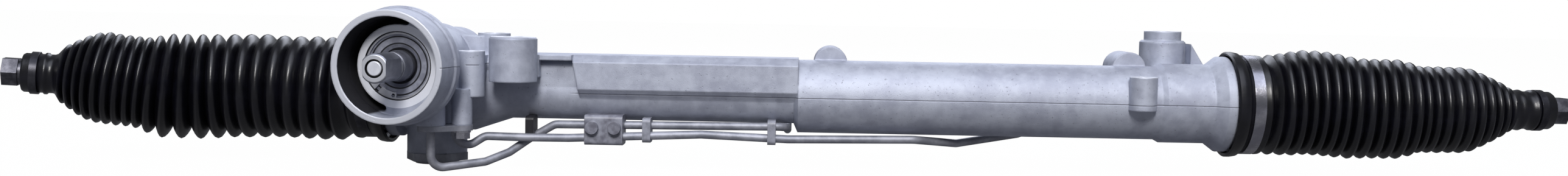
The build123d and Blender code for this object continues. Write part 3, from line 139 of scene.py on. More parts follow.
class Shade:
    """A number socket that takes part in Python's arithmetic."""

    def __init__(self, tree: "Tree", socket: bpy.types.NodeSocket) -> None:
        """Wraps a socket of a tree."""
        self.tree = tree
        self.socket = socket

    def maths(self, operation: str, *values: "Shade | float") -> "Shade":
        """Result of one Math node on these values."""
        node = self.tree.add("ShaderNodeMath", {"operation": operation}, dict(enumerate(values)))
        return Shade(self.tree, node.outputs[0])

    def __add__(self, other: "Shade | float") -> "Shade":
        """Sum."""
        return self.maths("ADD", self, other)

    def __radd__(self, other: float) -> "Shade":
        """Sum, with the number first."""
        return self.maths("ADD", other, self)

    def __sub__(self, other: "Shade | float") -> "Shade":
        """Difference."""
        return self.maths("SUBTRACT", self, other)

    def __rsub__(self, other: float) -> "Shade":
        """Difference, with the number first."""
        return self.maths("SUBTRACT", other, self)

    def __mul__(self, other: "Shade | float") -> "Shade":
        """Product."""
        return self.maths("MULTIPLY", self, other)

    def __rmul__(self, other: float) -> "Shade":
        """Product, with the number first."""
        return self.maths("MULTIPLY", other, self)

    def __truediv__(self, other: "Shade | float") -> "Shade":
        """Quotient."""
        return self.maths("DIVIDE", self, other)

    def __rtruediv__(self, other: float) -> "Shade":
        """Quotient, with the number first."""
        return self.maths("DIVIDE", other, self)

    def __abs__(self) -> "Shade":
        """Size without its sign."""
        return self.maths("ABSOLUTE", self)

    def root(self) -> "Shade":
        """Square root."""
        return self.maths("SQRT", self)

    def at_least(self, other: "Shade | float") -> "Shade":
        """The larger of the two."""
        return self.maths("MAXIMUM", self, other)

    def band(self, low: float, high: float, start: float = 0.0, end: float = 1.0) -> "Shade":
        """Makes a soft step.

        Args:
            low: Value where the step begins.
            high: Value where it ends.
            start: Result up to `low`.
            end: Result from `high`.

        Returns:
            The step.
        """
        node = self.tree.add(
            "ShaderNodeMapRange", {"interpolation_type": "SMOOTHSTEP", "clamp": True},
            {0: self, 1: low, 2: high, 3: start, 4: end},
        )
        return Shade(self.tree, node.outputs[0])

    def above(self, level: float, fade: float) -> "Shade":
        """1 from the level up, reached over `fade` below it."""
        return self.band(level - fade, level)

    def below(self, level: float, fade: float) -> "Shade":
        """1 up to the level, gone over `fade` above it."""
        return self.band(level, level + fade, 1.0, 0.0)

    def near(self, value: float, core: float, edge: float) -> "Shade":
        """1 within `core` of a value, and 0 from `edge` away."""
        return abs(self - value).band(core, edge, 1.0, 0.0)


class Tree:
    """Node tree of a material or of the world."""

    def __init__(self, tree: bpy.types.NodeTree) -> None:
        """Empties the tree."""
        self.tree = tree
        tree.nodes.clear()

    def add(self, kind: str, settings: dict[str, object], inputs: dict) -> bpy.types.Node:
        """Adds one node.

        Args:
            kind: The node's type.
            settings: Its own properties.
            inputs: Values, links or shades by the sockets' names or numbers.

        Returns:
            The node.
        """
        node = self.tree.nodes.new(kind)
        for key, value in settings.items():
            setattr(node, key, value)
        for key, value in inputs.items():
            self.feed(node.inputs[key], value)
        return node

    def feed(self, socket: bpy.types.NodeSocket, value: object) -> None:
        """Links or sets one socket.

        Args:
            socket: The socket that takes the value.
            value: A shade or socket to link, or a constant.
        """
        if isinstance(value, Shade):
            value = value.socket
        if isinstance(value, bpy.types.NodeSocket):
            self.tree.links.new(value, socket)
        elif isinstance(value, tuple) and len(value) == 3 and socket.type == "RGBA":
            socket.default_value = (*value, 1.0)
        else:
            socket.default_value = value

    def seen(self, mirror: float) -> Shade:
        """Tells the eye's rays from those that light the object.

        Args:
            mirror: Share for rays that a shiny surface has thrown back.

        Returns:
            1 for rays from the camera or through glass, `mirror` for reflected ones, else 0.
        """
        path = self.add("ShaderNodeLightPath", {}, {})
        kinds = ("Camera", "Glossy", "Transmission")
        camera, glossy, through = (Shade(self, path.outputs[f"Is {kind} Ray"]) for kind in kinds)
        return camera.at_least(glossy * mirror).at_least(through)


@dataclass(frozen=True)
class Lumps:
    """Soft noise: how wide its lumps are in millimetres, and its finer layers."""

    size: float
    detail: float = 2.0
    rough: float = 0.55


@dataclass(frozen=True)
class TowerPlace:
    """Where a point lies about the valve tower's axis, in millimetres."""

    across: Shade
    up: Shade
    out: Shade
    radius: Shade


class Graph(Tree):
    """Node tree of one new material with a Principled shader."""

    def __init__(self, name: str) -> None:
        """Makes the material.

        Args:
            name: What to call it.
        """
        self.material = bpy.data.materials.new(name)
        self.material.use_nodes = True
        super().__init__(self.material.node_tree)
        self.output = self.add("ShaderNodeOutputMaterial", {}, {})
        self.shader = self.add("ShaderNodeBsdfPrincipled", {}, {})
        self.feed(self.output.inputs[0], self.shader.outputs[0])

    def dress(self, **values: object) -> None:
        """Feeds the Principled shader's sockets, named with _ for a space."""
        for key, value in values.items():
            self.feed(self.shader.inputs[key.replace("_", " ")], value)

    def fed(self, name: str) -> bpy.types.NodeSocket:
        """What is linked to one of the shader's sockets."""
        return self.shader.inputs[name].links[0].from_socket

    def mapped(self, source: bpy.types.NodeSocket, **values: Triple) -> bpy.types.NodeSocket:
        """Vector after a Mapping node with these sockets."""
        node = self.add("ShaderNodeMapping", {"vector_type": "POINT"}, {"Vector": source, **values})
        return node.outputs[0]

    def place(self, centre: Vector = RACK_CENTRE, turn: Triple = UNTURNED,
              stretch: Triple = UNSTRETCHED) -> bpy.types.NodeSocket:
        """Measures object coordinates in millimetres.

        Args:
            centre: The point that becomes zero.
            turn: Degrees about each axis.
            stretch: What each axis is multiplied by at last.

        Returns:
            The vector.
        """
        source = self.add("ShaderNodeTexCoord", {}, {}).outputs["Object"]
        moved = self.mapped(source, Location=tuple(-c for c in centre))
        turned = self.mapped(moved, Rotation=tuple(math.radians(a) for a in turn), Scale=PER_METRE)
        return turned if stretch == UNSTRETCHED else self.mapped(turned, Scale=stretch)

    def axes(self, vector: bpy.types.NodeSocket) -> tuple[Shade, Shade, Shade]:
        """The three numbers of a vector."""
        node = self.add("ShaderNodeSeparateXYZ", {}, {0: vector})
        return Shade(self, node.outputs[0]), Shade(self, node.outputs[1]), Shade(self, node.outputs[2])

    def tower(self) -> TowerPlace:
        """Place about the valve tower's axis."""
        across, along, up = self.axes(self.place(TOWER_FOOT, (0.0, 0.0, TOWER_LEAN)))
        return TowerPlace(across, up, along * -1, (across * across + up * up).root())

    def noise(self, vector: bpy.types.NodeSocket, lumps: Lumps) -> Shade:
        """Makes soft noise round 0.5.

        Args:
            vector: Place in millimetres.
            lumps: The noise's settings.

        Returns:
            The noise.
        """
        node = self.add(
            "ShaderNodeTexNoise", {},
            {"Vector": vector, "Scale": 1.0 / lumps.size, "Detail": lumps.detail, "Roughness": lumps.rough},
        )
        return Shade(self, node.outputs[0])

    def blend(self, share: Shade, first: object, second: object) -> bpy.types.NodeSocket:
        """Colour between two colours."""
        node = self.add("ShaderNodeMix", {"data_type": "RGBA"}, {0: share, 6: first, 7: second})
        return node.outputs[2]

    def bump(self, height: Shade, depth: float, edge: float = 0.0) -> bpy.types.NodeSocket:
        """Makes the normal of a relief.

        Args:
            height: The relief's height, about 0 to 1.
            depth: Millimetres that a height of 1 stands for.
            edge: Radius in millimetres that sharp edges are worn to, or 0 for none.

        Returns:
            The normal.
        """
        values = {"Height": height, "Distance": depth * MM, "Strength": 1.0}
        if edge:
            worn = self.add("ShaderNodeBevel", {"samples": BEVEL_SAMPLES}, {"Radius": edge * MM})
            values["Normal"] = worn.outputs[0]
        return self.add("ShaderNodeBump", {}, values).outputs[0]


# ---- finishes ----------------------------------------------------------------------------
class Finish(Protocol):
    """Anything that makes a material."""

    def material(self, name: str) -> bpy.types.Material:
        """Builds the material."""


@dataclass(frozen=True)
class TowerFace:
    """A ring that a cutter has left across the valve tower's axis."""

    out: float
    inner: float
    outer: float


@dataclass(frozen=True)
class BossFace:
    """A disc that a cutter has left on top of a boss."""

    centre: Pair
    height: float
    radius: float


TOWER_FACES = (TowerFace(97.4, 30.0, 42.0), TowerFace(77.3, 22.0, 29.2))
BOSS_FACES = (
    BossFace((-197.0, -35.0), 41.5, 17.0),
    BossFace((292.0, 40.0), 53.0, 14.0),
    BossFace((-225.7, -40.0), 31.0, 9.2),
    BossFace((-219.0, 1.0), 43.0, 11.8),
    BossFace((261.0, -28.0), 20.5, 10.0),
)


@dataclass(frozen=True)
class CastAluminium:
    """Blasted pressure-casting, with faces cut bright and a thin parting line.

    Fields in `_half` are where a slice is full and where it has faded, from its middle.
    """

    light: Colour = (0.50, 0.53, 0.61)
    dark: Colour = (0.36, 0.38, 0.46)
    cut: Colour = (0.66, 0.68, 0.74)
    grime: Colour = (0.10, 0.10, 0.12)
    # Near-black painted shade, put into the crescent pocket and into the bore.
    painted_recess_shade: Colour = (0.004, 0.004, 0.008)
    # Painted light: near-white over the collar's machined face, in place of the shadow that the shroud casts
    # on it.
    collar_painted_light: Colour = (0.86, 0.88, 0.94)
    broad: Lumps = Lumps(38.0, 3.0)
    patch: Lumps = Lumps(9.0, 4.0, 0.6)
    pit: Lumps = Lumps(1.6, 2.0, 0.5)
    grain: Lumps = Lumps(0.55, 3.0, 0.6)
    brush: Lumps = Lumps(3.0)
    brush_stretch: Triple = (1.0, 1.0, 6.0)
    cloud_share: float = 0.6
    tones: Pair = (0.42, 0.78)
    pit_rims: Pair = (0.66, 0.74)
    pit_dirt: float = 0.35
    pit_depth: float = 0.8
    patch_height: float = 0.8
    edge: float = 1.6
    relief: float = 0.11
    metallic: float = 0.42
    rough: float = 0.50
    patch_rough: float = 0.16
    brush_rough: float = 0.04
    pocket_rough: float = 0.4
    cut_polish: float = 0.12
    face_half: Pair = (0.25, 0.5)
    face_fade: float = 0.4
    pocket_radii: Pair = (29.4, 35.4)
    pocket_depths: Pair = (51.0, 96.7)
    pocket_side: Pair = (-0.966, 0.259)
    pocket_ends: Pair = (0.06, 0.16)
    collar_out: float = 77.3
    collar_half: Pair = (0.3, 0.6)
    collar_radius: float = 29.3
    bore_radius: float = 23.9
    bore_out: float = 61.0
    seam_half: Pair = (0.15, 0.6)
    seam_wander: float = 0.5
    seam_from: float = -150.0
    seam_dirt: float = 0.5
    seam_depth: float = 2.0
    tower_seam_half: Pair = (0.2, 0.6)
    tower_seam_radii: Pair = (38.0, 46.0)

    def faces(self, graph: Graph, tower: TowerPlace) -> Shade:
        """Masks the machined faces.

        Args:
            graph: The material's nodes.
            tower: The place about the tower's axis.

        Returns:
            1 on a machined face.
        """
        mask = tower.out * 0
        for face in TOWER_FACES:
            ring = tower.radius.above(face.inner, fade=0.3) * tower.radius.below(face.outer, fade=0.3)
            mask = mask.at_least(tower.out.near(face.out, *self.face_half) * ring)
        for face in BOSS_FACES:
            x, y, z = graph.axes(graph.place(at(*face.centre, face.height)))
            rim = face.radius + self.face_fade
            disc = (x * x + y * y).band(face.radius ** 2, rim ** 2, 1.0, 0.0)
            mask = mask.at_least(z.near(0, *self.face_half) * disc)
        return mask

    def crescent(self, tower: TowerPlace) -> Shade:
        """Masks the crescent hollow, which is painted near-black as shade.

        Args:
            tower: The place about the tower's axis.

        Returns:
            1 in the hollow's painted shade.
        """
        side = (tower.across * self.pocket_side[0] + tower.up * self.pocket_side[1]) / tower.radius
        inner, outer = self.pocket_radii
        deep, shallow = self.pocket_depths
        ring = tower.radius.above(inner, fade=0.25) * tower.radius.below(outer, fade=0.2)
        depth = tower.out.above(deep, fade=1) * tower.out.below(shallow, fade=0.2)
        return ring * depth * side.band(*self.pocket_ends)

    def painted_bore_shade(self, tower: TowerPlace) -> Shade:
        """Mask of the bored hole inside the seal's seat ring, painted near-black as shade."""
        return tower.out.above(self.bore_out, fade=1) * tower.radius.below(self.bore_radius, fade=0.4)

    def painted_collar_light(self, tower: TowerPlace) -> Shade:
        """Mask of the machined face round the seal's seat, painted brighter as light in place of the shroud's
        shadow.
        """
        level = tower.out.near(self.collar_out, *self.collar_half)
        return level * tower.radius.below(self.collar_radius, fade=0.2)

    def parting(self, tower: TowerPlace, x: Shade, z: Shade, broad: Shade) -> Shade:
        """Masks the die's parting line along the tube and across the tower.

        Args:
            tower: The place about the tower's axis.
            x: Place along the rack.
            z: Height above the rack's axis.
            broad: Noise that makes the line wander.

        Returns:
            1 on the line.
        """
        wandering = (z + broad * self.seam_wander).near(self.seam_wander / 2, *self.seam_half)
        tube = wandering * x.above(self.seam_from, fade=10)
        inner, outer = self.tower_seam_radii
        ring = tower.radius.above(inner, fade=0.5) * tower.radius.below(outer, fade=1)
        across = tower.up.near(0, *self.tower_seam_half) * tower.across.above(1, fade=1)
        return tube.at_least(across * ring)

    def material(self, name: str) -> bpy.types.Material:
        """Builds the material.

        Args:
            name: What to call it.

        Returns:
            The material.
        """
        graph = Graph(name)
        rack = graph.place()
        x, _, z = graph.axes(rack)
        tower = graph.tower()
        broad, patch = graph.noise(rack, self.broad), graph.noise(rack, self.patch)
        grain, pits = graph.noise(rack, self.grain), graph.noise(rack, self.pit).band(*self.pit_rims)
        brush = graph.noise(graph.place(stretch=self.brush_stretch), self.brush)
        cut = self.faces(graph, tower)
        line = self.parting(tower, x, z, broad)
        # The pocket and bore masks carry painted shade.
        painted_recess_shade, painted_bore_shade = self.crescent(tower), self.painted_bore_shade(tower)
        cloud = broad * self.cloud_share + patch * self.cloud_share
        colour = graph.blend(cloud.band(*self.tones), self.dark, self.light)
        # Layers: pits and parting line are the casting's own dark marks, cut faces are machined, the collar's
        # face is painted light, and the last is painted shade in the pocket and bore.
        for share, layer in (
            (pits * self.pit_dirt, self.grime), (cut, self.cut), (line * self.seam_dirt, self.grime),
            (self.painted_collar_light(tower) * (1 - painted_bore_shade), self.collar_painted_light), (painted_bore_shade.at_least(painted_recess_shade), self.painted_recess_shade),
        ):
            colour = graph.blend(share, colour, layer)
        raised = grain * (1 - cut) + patch * self.patch_height
        sunk = pits * self.pit_depth + line * self.seam_depth
        rough = patch * self.patch_rough + self.rough + brush * self.brush_rough
        graph.dress(
            Base_Color=colour,
            Metallic=(1 - painted_recess_shade) * self.metallic,
            Roughness=rough - cut * self.cut_polish + painted_recess_shade * self.pocket_rough,
            Normal=graph.bump(raised - sunk, self.relief, self.edge),
        )
        return graph.material


@dataclass(frozen=True)
class TurnedSteel:
    """Bright steel with fine turning or drawing marks and a little oil stain."""

    light: Colour = (0.62, 0.62, 0.64)
    dark: Colour = (0.40, 0.40, 0.43)
    rough: float = 0.28
    mark: float = 0.35
    metallic: float = 1.0
    edge: float = 0.5
    mark_length: float = 4.0
    mark_stretch: Triple = (6.0, 1.0, 1.0)
    stain: Lumps = Lumps(12.0, 4.0, 0.6)
    scuff: Lumps = Lumps(0.9, 3.0)
    tones: Pair = (0.35, 0.7)
    stain_rough: float = 0.18
    scuff_rough: float = 0.08
    polish: float = 0.12
    scuff_height: float = 0.5
    relief: float = 0.03

    def graph(self, name: str) -> Graph:
        """Builds the material's nodes.

        Args:
            name: What to call the material.

        Returns:
            The nodes, dressed.
        """
        graph = Graph(name)
        rack = graph.place()
        stain, scuff = graph.noise(rack, self.stain), graph.noise(rack, self.scuff)
        marks = graph.noise(graph.place(stretch=self.mark_stretch), Lumps(self.mark * self.mark_length))
        graph.dress(
            Base_Color=graph.blend(stain.band(*self.tones), self.dark, self.light),
            Metallic=self.metallic,
            Roughness=stain * self.stain_rough + scuff * self.scuff_rough + (self.rough - self.polish),
            Normal=graph.bump(marks + scuff * self.scuff_height, self.relief, self.edge),
        )
        return graph

    def material(self, name: str) -> bpy.types.Material:
        """Builds the material."""
        return self.graph(name).material


@dataclass(frozen=True)
class Rubber:
    """Black rubber with a soft bloom and a moulded grain."""

    base: Colour = (0.0012, 0.0012, 0.0026)
    bloom: Colour = (0.0035, 0.0035, 0.0075)
    rough: float = 0.31
    grain: float = 0.8
    cloud: Lumps = Lumps(17.0, 4.0, 0.6)
    streak: Lumps = Lumps(5.0)
    streak_stretch: Triple = (0.2, 1.0, 1.0)
    cloud_share: float = 0.7
    tones: Pair = (0.38, 0.72)
    cloud_rough: float = 0.16
    streak_rough: float = 0.08
    polish: float = 0.11
    streak_height: float = 1.5
    relief: float = 0.05

    def material(self, name: str) -> bpy.types.Material:
        """Builds the material.

        Args:
            name: What to call it.

        Returns:
            The material.
        """
        graph = Graph(name)
        rack = graph.place()
        cloud, grain = graph.noise(rack, self.cloud), graph.noise(rack, Lumps(self.grain, 3.0, 0.6))
        streak = graph.noise(graph.place(stretch=self.streak_stretch), self.streak)
        bloom = (cloud * self.cloud_share + streak * (1 - self.cloud_share)).band(*self.tones)
        graph.dress(
            Base_Color=graph.blend(bloom, self.base, self.bloom),
            Roughness=cloud * self.cloud_rough + streak * self.streak_rough + (self.rough - self.polish),
            Specular_IOR_Level=0.5,
            Normal=graph.bump(grain + streak * self.streak_height, self.relief),
        )
        return graph.material


@dataclass(frozen=True)
class Plastic:
    """Moulded plastic with a faint texture."""

    light: Colour
    dark: Colour
    rough: float = 0.42
    grain: float = 0.6
    cloud: Lumps = Lumps(8.0, 3.0)
    tones: Pair = (0.35, 0.7)
    cloud_rough: float = 0.14
    polish: float = 0.06
    relief: float = 0.03
    edge: float = 0.5

    def material(self, name: str) -> bpy.types.Material:
        """Builds the material.

        Args:
            name: What to call it.

        Returns:
            The material.
        """
        graph = Graph(name)
        rack = graph.place()
        cloud, grain = graph.noise(rack, self.cloud), graph.noise(rack, Lumps(self.grain))
        graph.dress(
            Base_Color=graph.blend(cloud.band(*self.tones), self.dark, self.light),
            Roughness=cloud * self.cloud_rough + (self.rough - self.polish),
            Normal=graph.bump(grain, self.relief, self.edge),
        )
        return graph.material


@dataclass(frozen=True)
class LipSeal:
    """Shaft seal: a pressed metal case with turned rings round a dark rubber sealing edge, whose near-black
    also stands as painted shade for the deep recess round the shaft; the rings' cuts are painted near-black
    as shade too.
    """

    case: Colour = (0.42, 0.44, 0.52)
    worn: Colour = (0.28, 0.29, 0.35)
    # Near-black of the rubber lip; it is also painted shade over the recess round the shaft and in the rings'
    # grooves.
    dark_lip_and_shade: Colour = (0.010, 0.010, 0.013)
    lip_radius: float = 12.6
    rings: tuple[float, ...] = (15.6, 20.4, 23.4)
    ring_width: float = 0.6
    cloud: Lumps = Lumps(6.0, 3.0)
    tones: Pair = (0.35, 0.7)
    metallic: float = 0.6
    rough: float = 0.36
    cloud_rough: float = 0.2
    cloud_height: float = 0.3
    ring_depth: float = 2.0
    relief: float = 0.3
    edge: float = 0.4

    def material(self, name: str) -> bpy.types.Material:
        """Builds the material.

        Args:
            name: What to call it.

        Returns:
            The material.
        """
        graph = Graph(name)
        radius = graph.tower().radius
        cloud = graph.noise(graph.place(TOWER_FOOT), self.cloud)
        dark_lip_and_shade = radius.below(self.lip_radius, fade=0.4)
        groove_and_painted_shade = radius * 0
        for ring in self.rings:
            groove_and_painted_shade = groove_and_painted_shade.at_least(radius.near(ring, self.ring_width / 2, self.ring_width))
        colour = graph.blend(cloud.band(*self.tones), self.worn, self.case)
        height = cloud * self.cloud_height - groove_and_painted_shade * self.ring_depth
        graph.dress(
            # Painted shade: the lip's near-black, not metallic, over the lip and the grooves.
            Base_Color=graph.blend(dark_lip_and_shade.at_least(groove_and_painted_shade), colour, self.dark_lip_and_shade),
            Metallic=(1 - dark_lip_and_shade) * (1 - groove_and_painted_shade) * self.metallic,
            Roughness=cloud * self.cloud_rough + self.rough,
            Normal=graph.bump(height, self.relief, self.edge),
        )
        return graph.material


@dataclass(frozen=True)
class StrapPlastic:
    """Pipe straps: black nearest the valve tower, natural grey along the tube."""

    light: Colour = (0.30, 0.31, 0.36)
    dark: Colour = (0.010, 0.010, 0.013)
    change: Pair = (-172.0, -168.0)
    cloud: Lumps = Lumps(5.0, 3.0)
    grain: Lumps = Lumps(0.6)
    dirty: Pair = (0.4, 0.7)
    dirt: float = 0.35
    rough: float = 0.34
    cloud_rough: float = 0.2
    relief: float = 0.03
    edge: float = 0.5

    def material(self, name: str) -> bpy.types.Material:
        """Builds the material.

        Args:
            name: What to call it.

        Returns:
            The material.
        """
        graph = Graph(name)
        rack = graph.place()
        x, _, _ = graph.axes(rack)
        cloud = graph.noise(rack, self.cloud)
        colour = graph.blend(x.band(*self.change), self.dark, self.light)
        graph.dress(
            Base_Color=graph.blend(cloud.band(*self.dirty, 0.0, self.dirt), colour, self.dark),
            Roughness=cloud * self.cloud_rough + self.rough,
            Normal=graph.bump(graph.noise(rack, self.grain), self.relief, self.edge),
        )
        return graph.material


@dataclass(frozen=True)
class ShaftSteel:
    """Ground input shaft with a bright tip and a ring of near-black painted shade round the torsion bar's
    head.
    """

    steel: TurnedSteel
    ring: Pair = (4.9, 6.3)
    ring_out: float = 113.5
    # Near-black painted shade for the ring round the torsion bar's head.
    ring_painted_shade: Colour = (0.004, 0.004, 0.006)
    tip_out: float = 117.3
    tip: Colour = (0.82, 0.84, 0.89)

    def material(self, name: str) -> bpy.types.Material:
        """Builds the material.

        Args:
            name: What to call it.

        Returns:
            The material.
        """
        graph = self.steel.graph(name)
        tower = graph.tower()
        inner, outer = self.ring
        ring = tower.radius.above(inner, fade=0.1) * tower.radius.below(outer, fade=0.1)
        ring = ring * tower.out.above(self.ring_out, fade=0.5)
        colour = graph.blend(tower.out.above(self.tip_out, fade=0.3), graph.fed("Base Color"), self.tip)
        # Painted shade: the ring round the torsion bar's head is near-black and not metallic.
        graph.dress(
            Base_Color=graph.blend(ring, colour, self.ring_painted_shade),
            Metallic=(1 - ring) * self.steel.metallic,
        )
        return graph.material


class Slot(Enum):
    """The record's material slots and the finish of each."""

    CAST = ("cast_aluminium", CastAluminium())
    GROUND = ("ground_steel", TurnedSteel(rough=0.22, mark=0.25))
    GEAR = ("gear_steel", TurnedSteel((0.70, 0.70, 0.72), (0.50, 0.50, 0.53), 0.34, 0.3, 0.9))
    ZINC = ("zinc_steel", TurnedSteel((0.40, 0.41, 0.46), (0.25, 0.26, 0.30), 0.56, 0.5, 0.6))
    BRIGHT = ("bright_steel", TurnedSteel((0.60, 0.60, 0.65), (0.42, 0.42, 0.46), 0.27, 0.2))
    SPRING = ("spring_steel", TurnedSteel((0.055, 0.055, 0.065), (0.02, 0.02, 0.026), 0.36, 0.3, 0.7))
    BOOT = ("boot_rubber", Rubber())
    SEAL = ("seal_rubber", Rubber((0.008, 0.008, 0.010), (0.02, 0.02, 0.025), 0.42, 0.5))
    BRONZE = ("bronze", TurnedSteel((0.62, 0.44, 0.22), (0.40, 0.26, 0.12), 0.32, 0.3))
    PTFE = ("ptfe", Plastic((0.78, 0.78, 0.74), (0.66, 0.66, 0.62), 0.45))
    NYLON = ("nylon", Plastic((0.74, 0.70, 0.58), (0.60, 0.56, 0.44), 0.4))
    CLIP = ("clip_plastic", Plastic((0.016, 0.016, 0.019), (0.008, 0.008, 0.010), 0.40))

    @property
    def slot(self) -> str:
        """The slot's name in the record."""
        return self.value[0]

    @property
    def finish(self) -> Finish:
        """The finish that fills the slot."""
        return self.value[1]


PHOSPHATED = TurnedSteel((0.15, 0.15, 0.17), (0.05, 0.05, 0.06), 0.40, 0.4, 0.85)
OWN_FINISHES: dict[str, Finish] = {
    "tie_rod_left": PHOSPHATED,
    "tie_rod_right": PHOSPHATED,
    "input_shaft": ShaftSteel(TurnedSteel((0.34, 0.35, 0.40), (0.22, 0.23, 0.27), 0.34, 0.3, 0.8)),
    "input_seal": LipSeal(),
    "torsion_bar": TurnedSteel((0.84, 0.86, 0.91), (0.70, 0.72, 0.78), 0.46, 0.3, 0.5),
    "seal_circlip": TurnedSteel((0.66, 0.67, 0.72), (0.50, 0.51, 0.56), 0.38, 0.3, 0.7),
    "boot_clamp_right": TurnedSteel((0.46, 0.46, 0.50), (0.28, 0.28, 0.32), 0.25, 0.2),
    "pipe_clip": Plastic((0.30, 0.31, 0.36), (0.13, 0.13, 0.16), 0.36),
    "pipe_straps": StrapPlastic(),
}


class Paintbox:
    """Makes each slot's material once, and the materials of nodes with a finish of their own."""

    def __init__(self) -> None:
        """Starts empty."""
        self.made: dict[str, bpy.types.Material] = {}

    def get(self, name: str) -> bpy.types.Material:
        """Finds or makes the material of a slot.

        Args:
            name: The slot's name in the record.

        Returns:
            The material.
        """
        if name not in self.made:
            slot = next(s for s in Slot if s.slot == name)
            self.made[name] = slot.finish.material(name)
        return self.made[name]

    def of_node(self, node: str, slot: str) -> bpy.types.Material:
        """Picks a node's own material, or its slot's.

        Args:
            node: The node's name.
            slot: Its slot in the record.

        Returns:
            The material.
        """
        if node in OWN_FINISHES:
            return OWN_FINISHES[node].material(f"{slot}_{node}")
        return self.get(slot)

    def dress_frame(self, frame: dict) -> None:
        """Gives every node of the frame its material.
        """
        for part in frame["record"]["subparts"]:
            obj = frame["nodes"][part["node"]]
            obj.data.materials.clear()
            obj.data.materials.append(self.of_node(part["node"], part["material_slot"]))
            LOG.info("dressed %s", part["node"])


# ---- modelling helpers -------------------------------------------------------------------
# Edges sharper than this stay sharp, and corners nearer than WELD metres become one.
SMOOTH_UNDER = math.radians(50.0)
WELD = 1e-6


def deselect() -> None:
    """Leaves nothing selected."""
    if bpy.context.mode != "OBJECT":
        bpy.ops.object.mode_set(mode="OBJECT")
    bpy.ops.object.select_all(action="DESELECT")


def only(obj: bpy.types.Object) -> None:
    """Selects one object and makes it active.

    Args:
        obj: The object.
    """
    deselect()
    obj.select_set(True)
    bpy.context.view_layer.objects.active = obj


def settle(obj: bpy.types.Object, name: str, material: bpy.types.Material) -> bpy.types.Object:
    """Names and dresses a piece, and puts its place into its mesh.

    Args:
        obj: The modelled piece.
        name: What to call it.
        material: What it is made of.

    Returns:
        The same piece.
    """
    only(obj)
    bpy.ops.object.transform_apply(location=True, rotation=True, scale=True)
    bpy.ops.object.shade_smooth_by_angle(angle=SMOOTH_UNDER)
    obj.name = obj.data.name = name
    obj.data.materials.clear()
    obj.data.materials.append(material)
    return obj


# ---- boots -------------------------------------------------------------------------------
# Number of the cuff's first ring past the clamp.
PAST_CLAMP = 8

# Millimetres by which a ring may miss its length's ends, and the sine of no turn at all.
RING_TOLERANCE = 0.01
NO_HINGE = 1e-6


@dataclass(frozen=True)
class Stretch:
    """One length of a boot between two rings, the bodies at its ends, and its blend span."""

    name: str
    rings: Pair
    bodies: tuple[str, str]
    blend: Pair


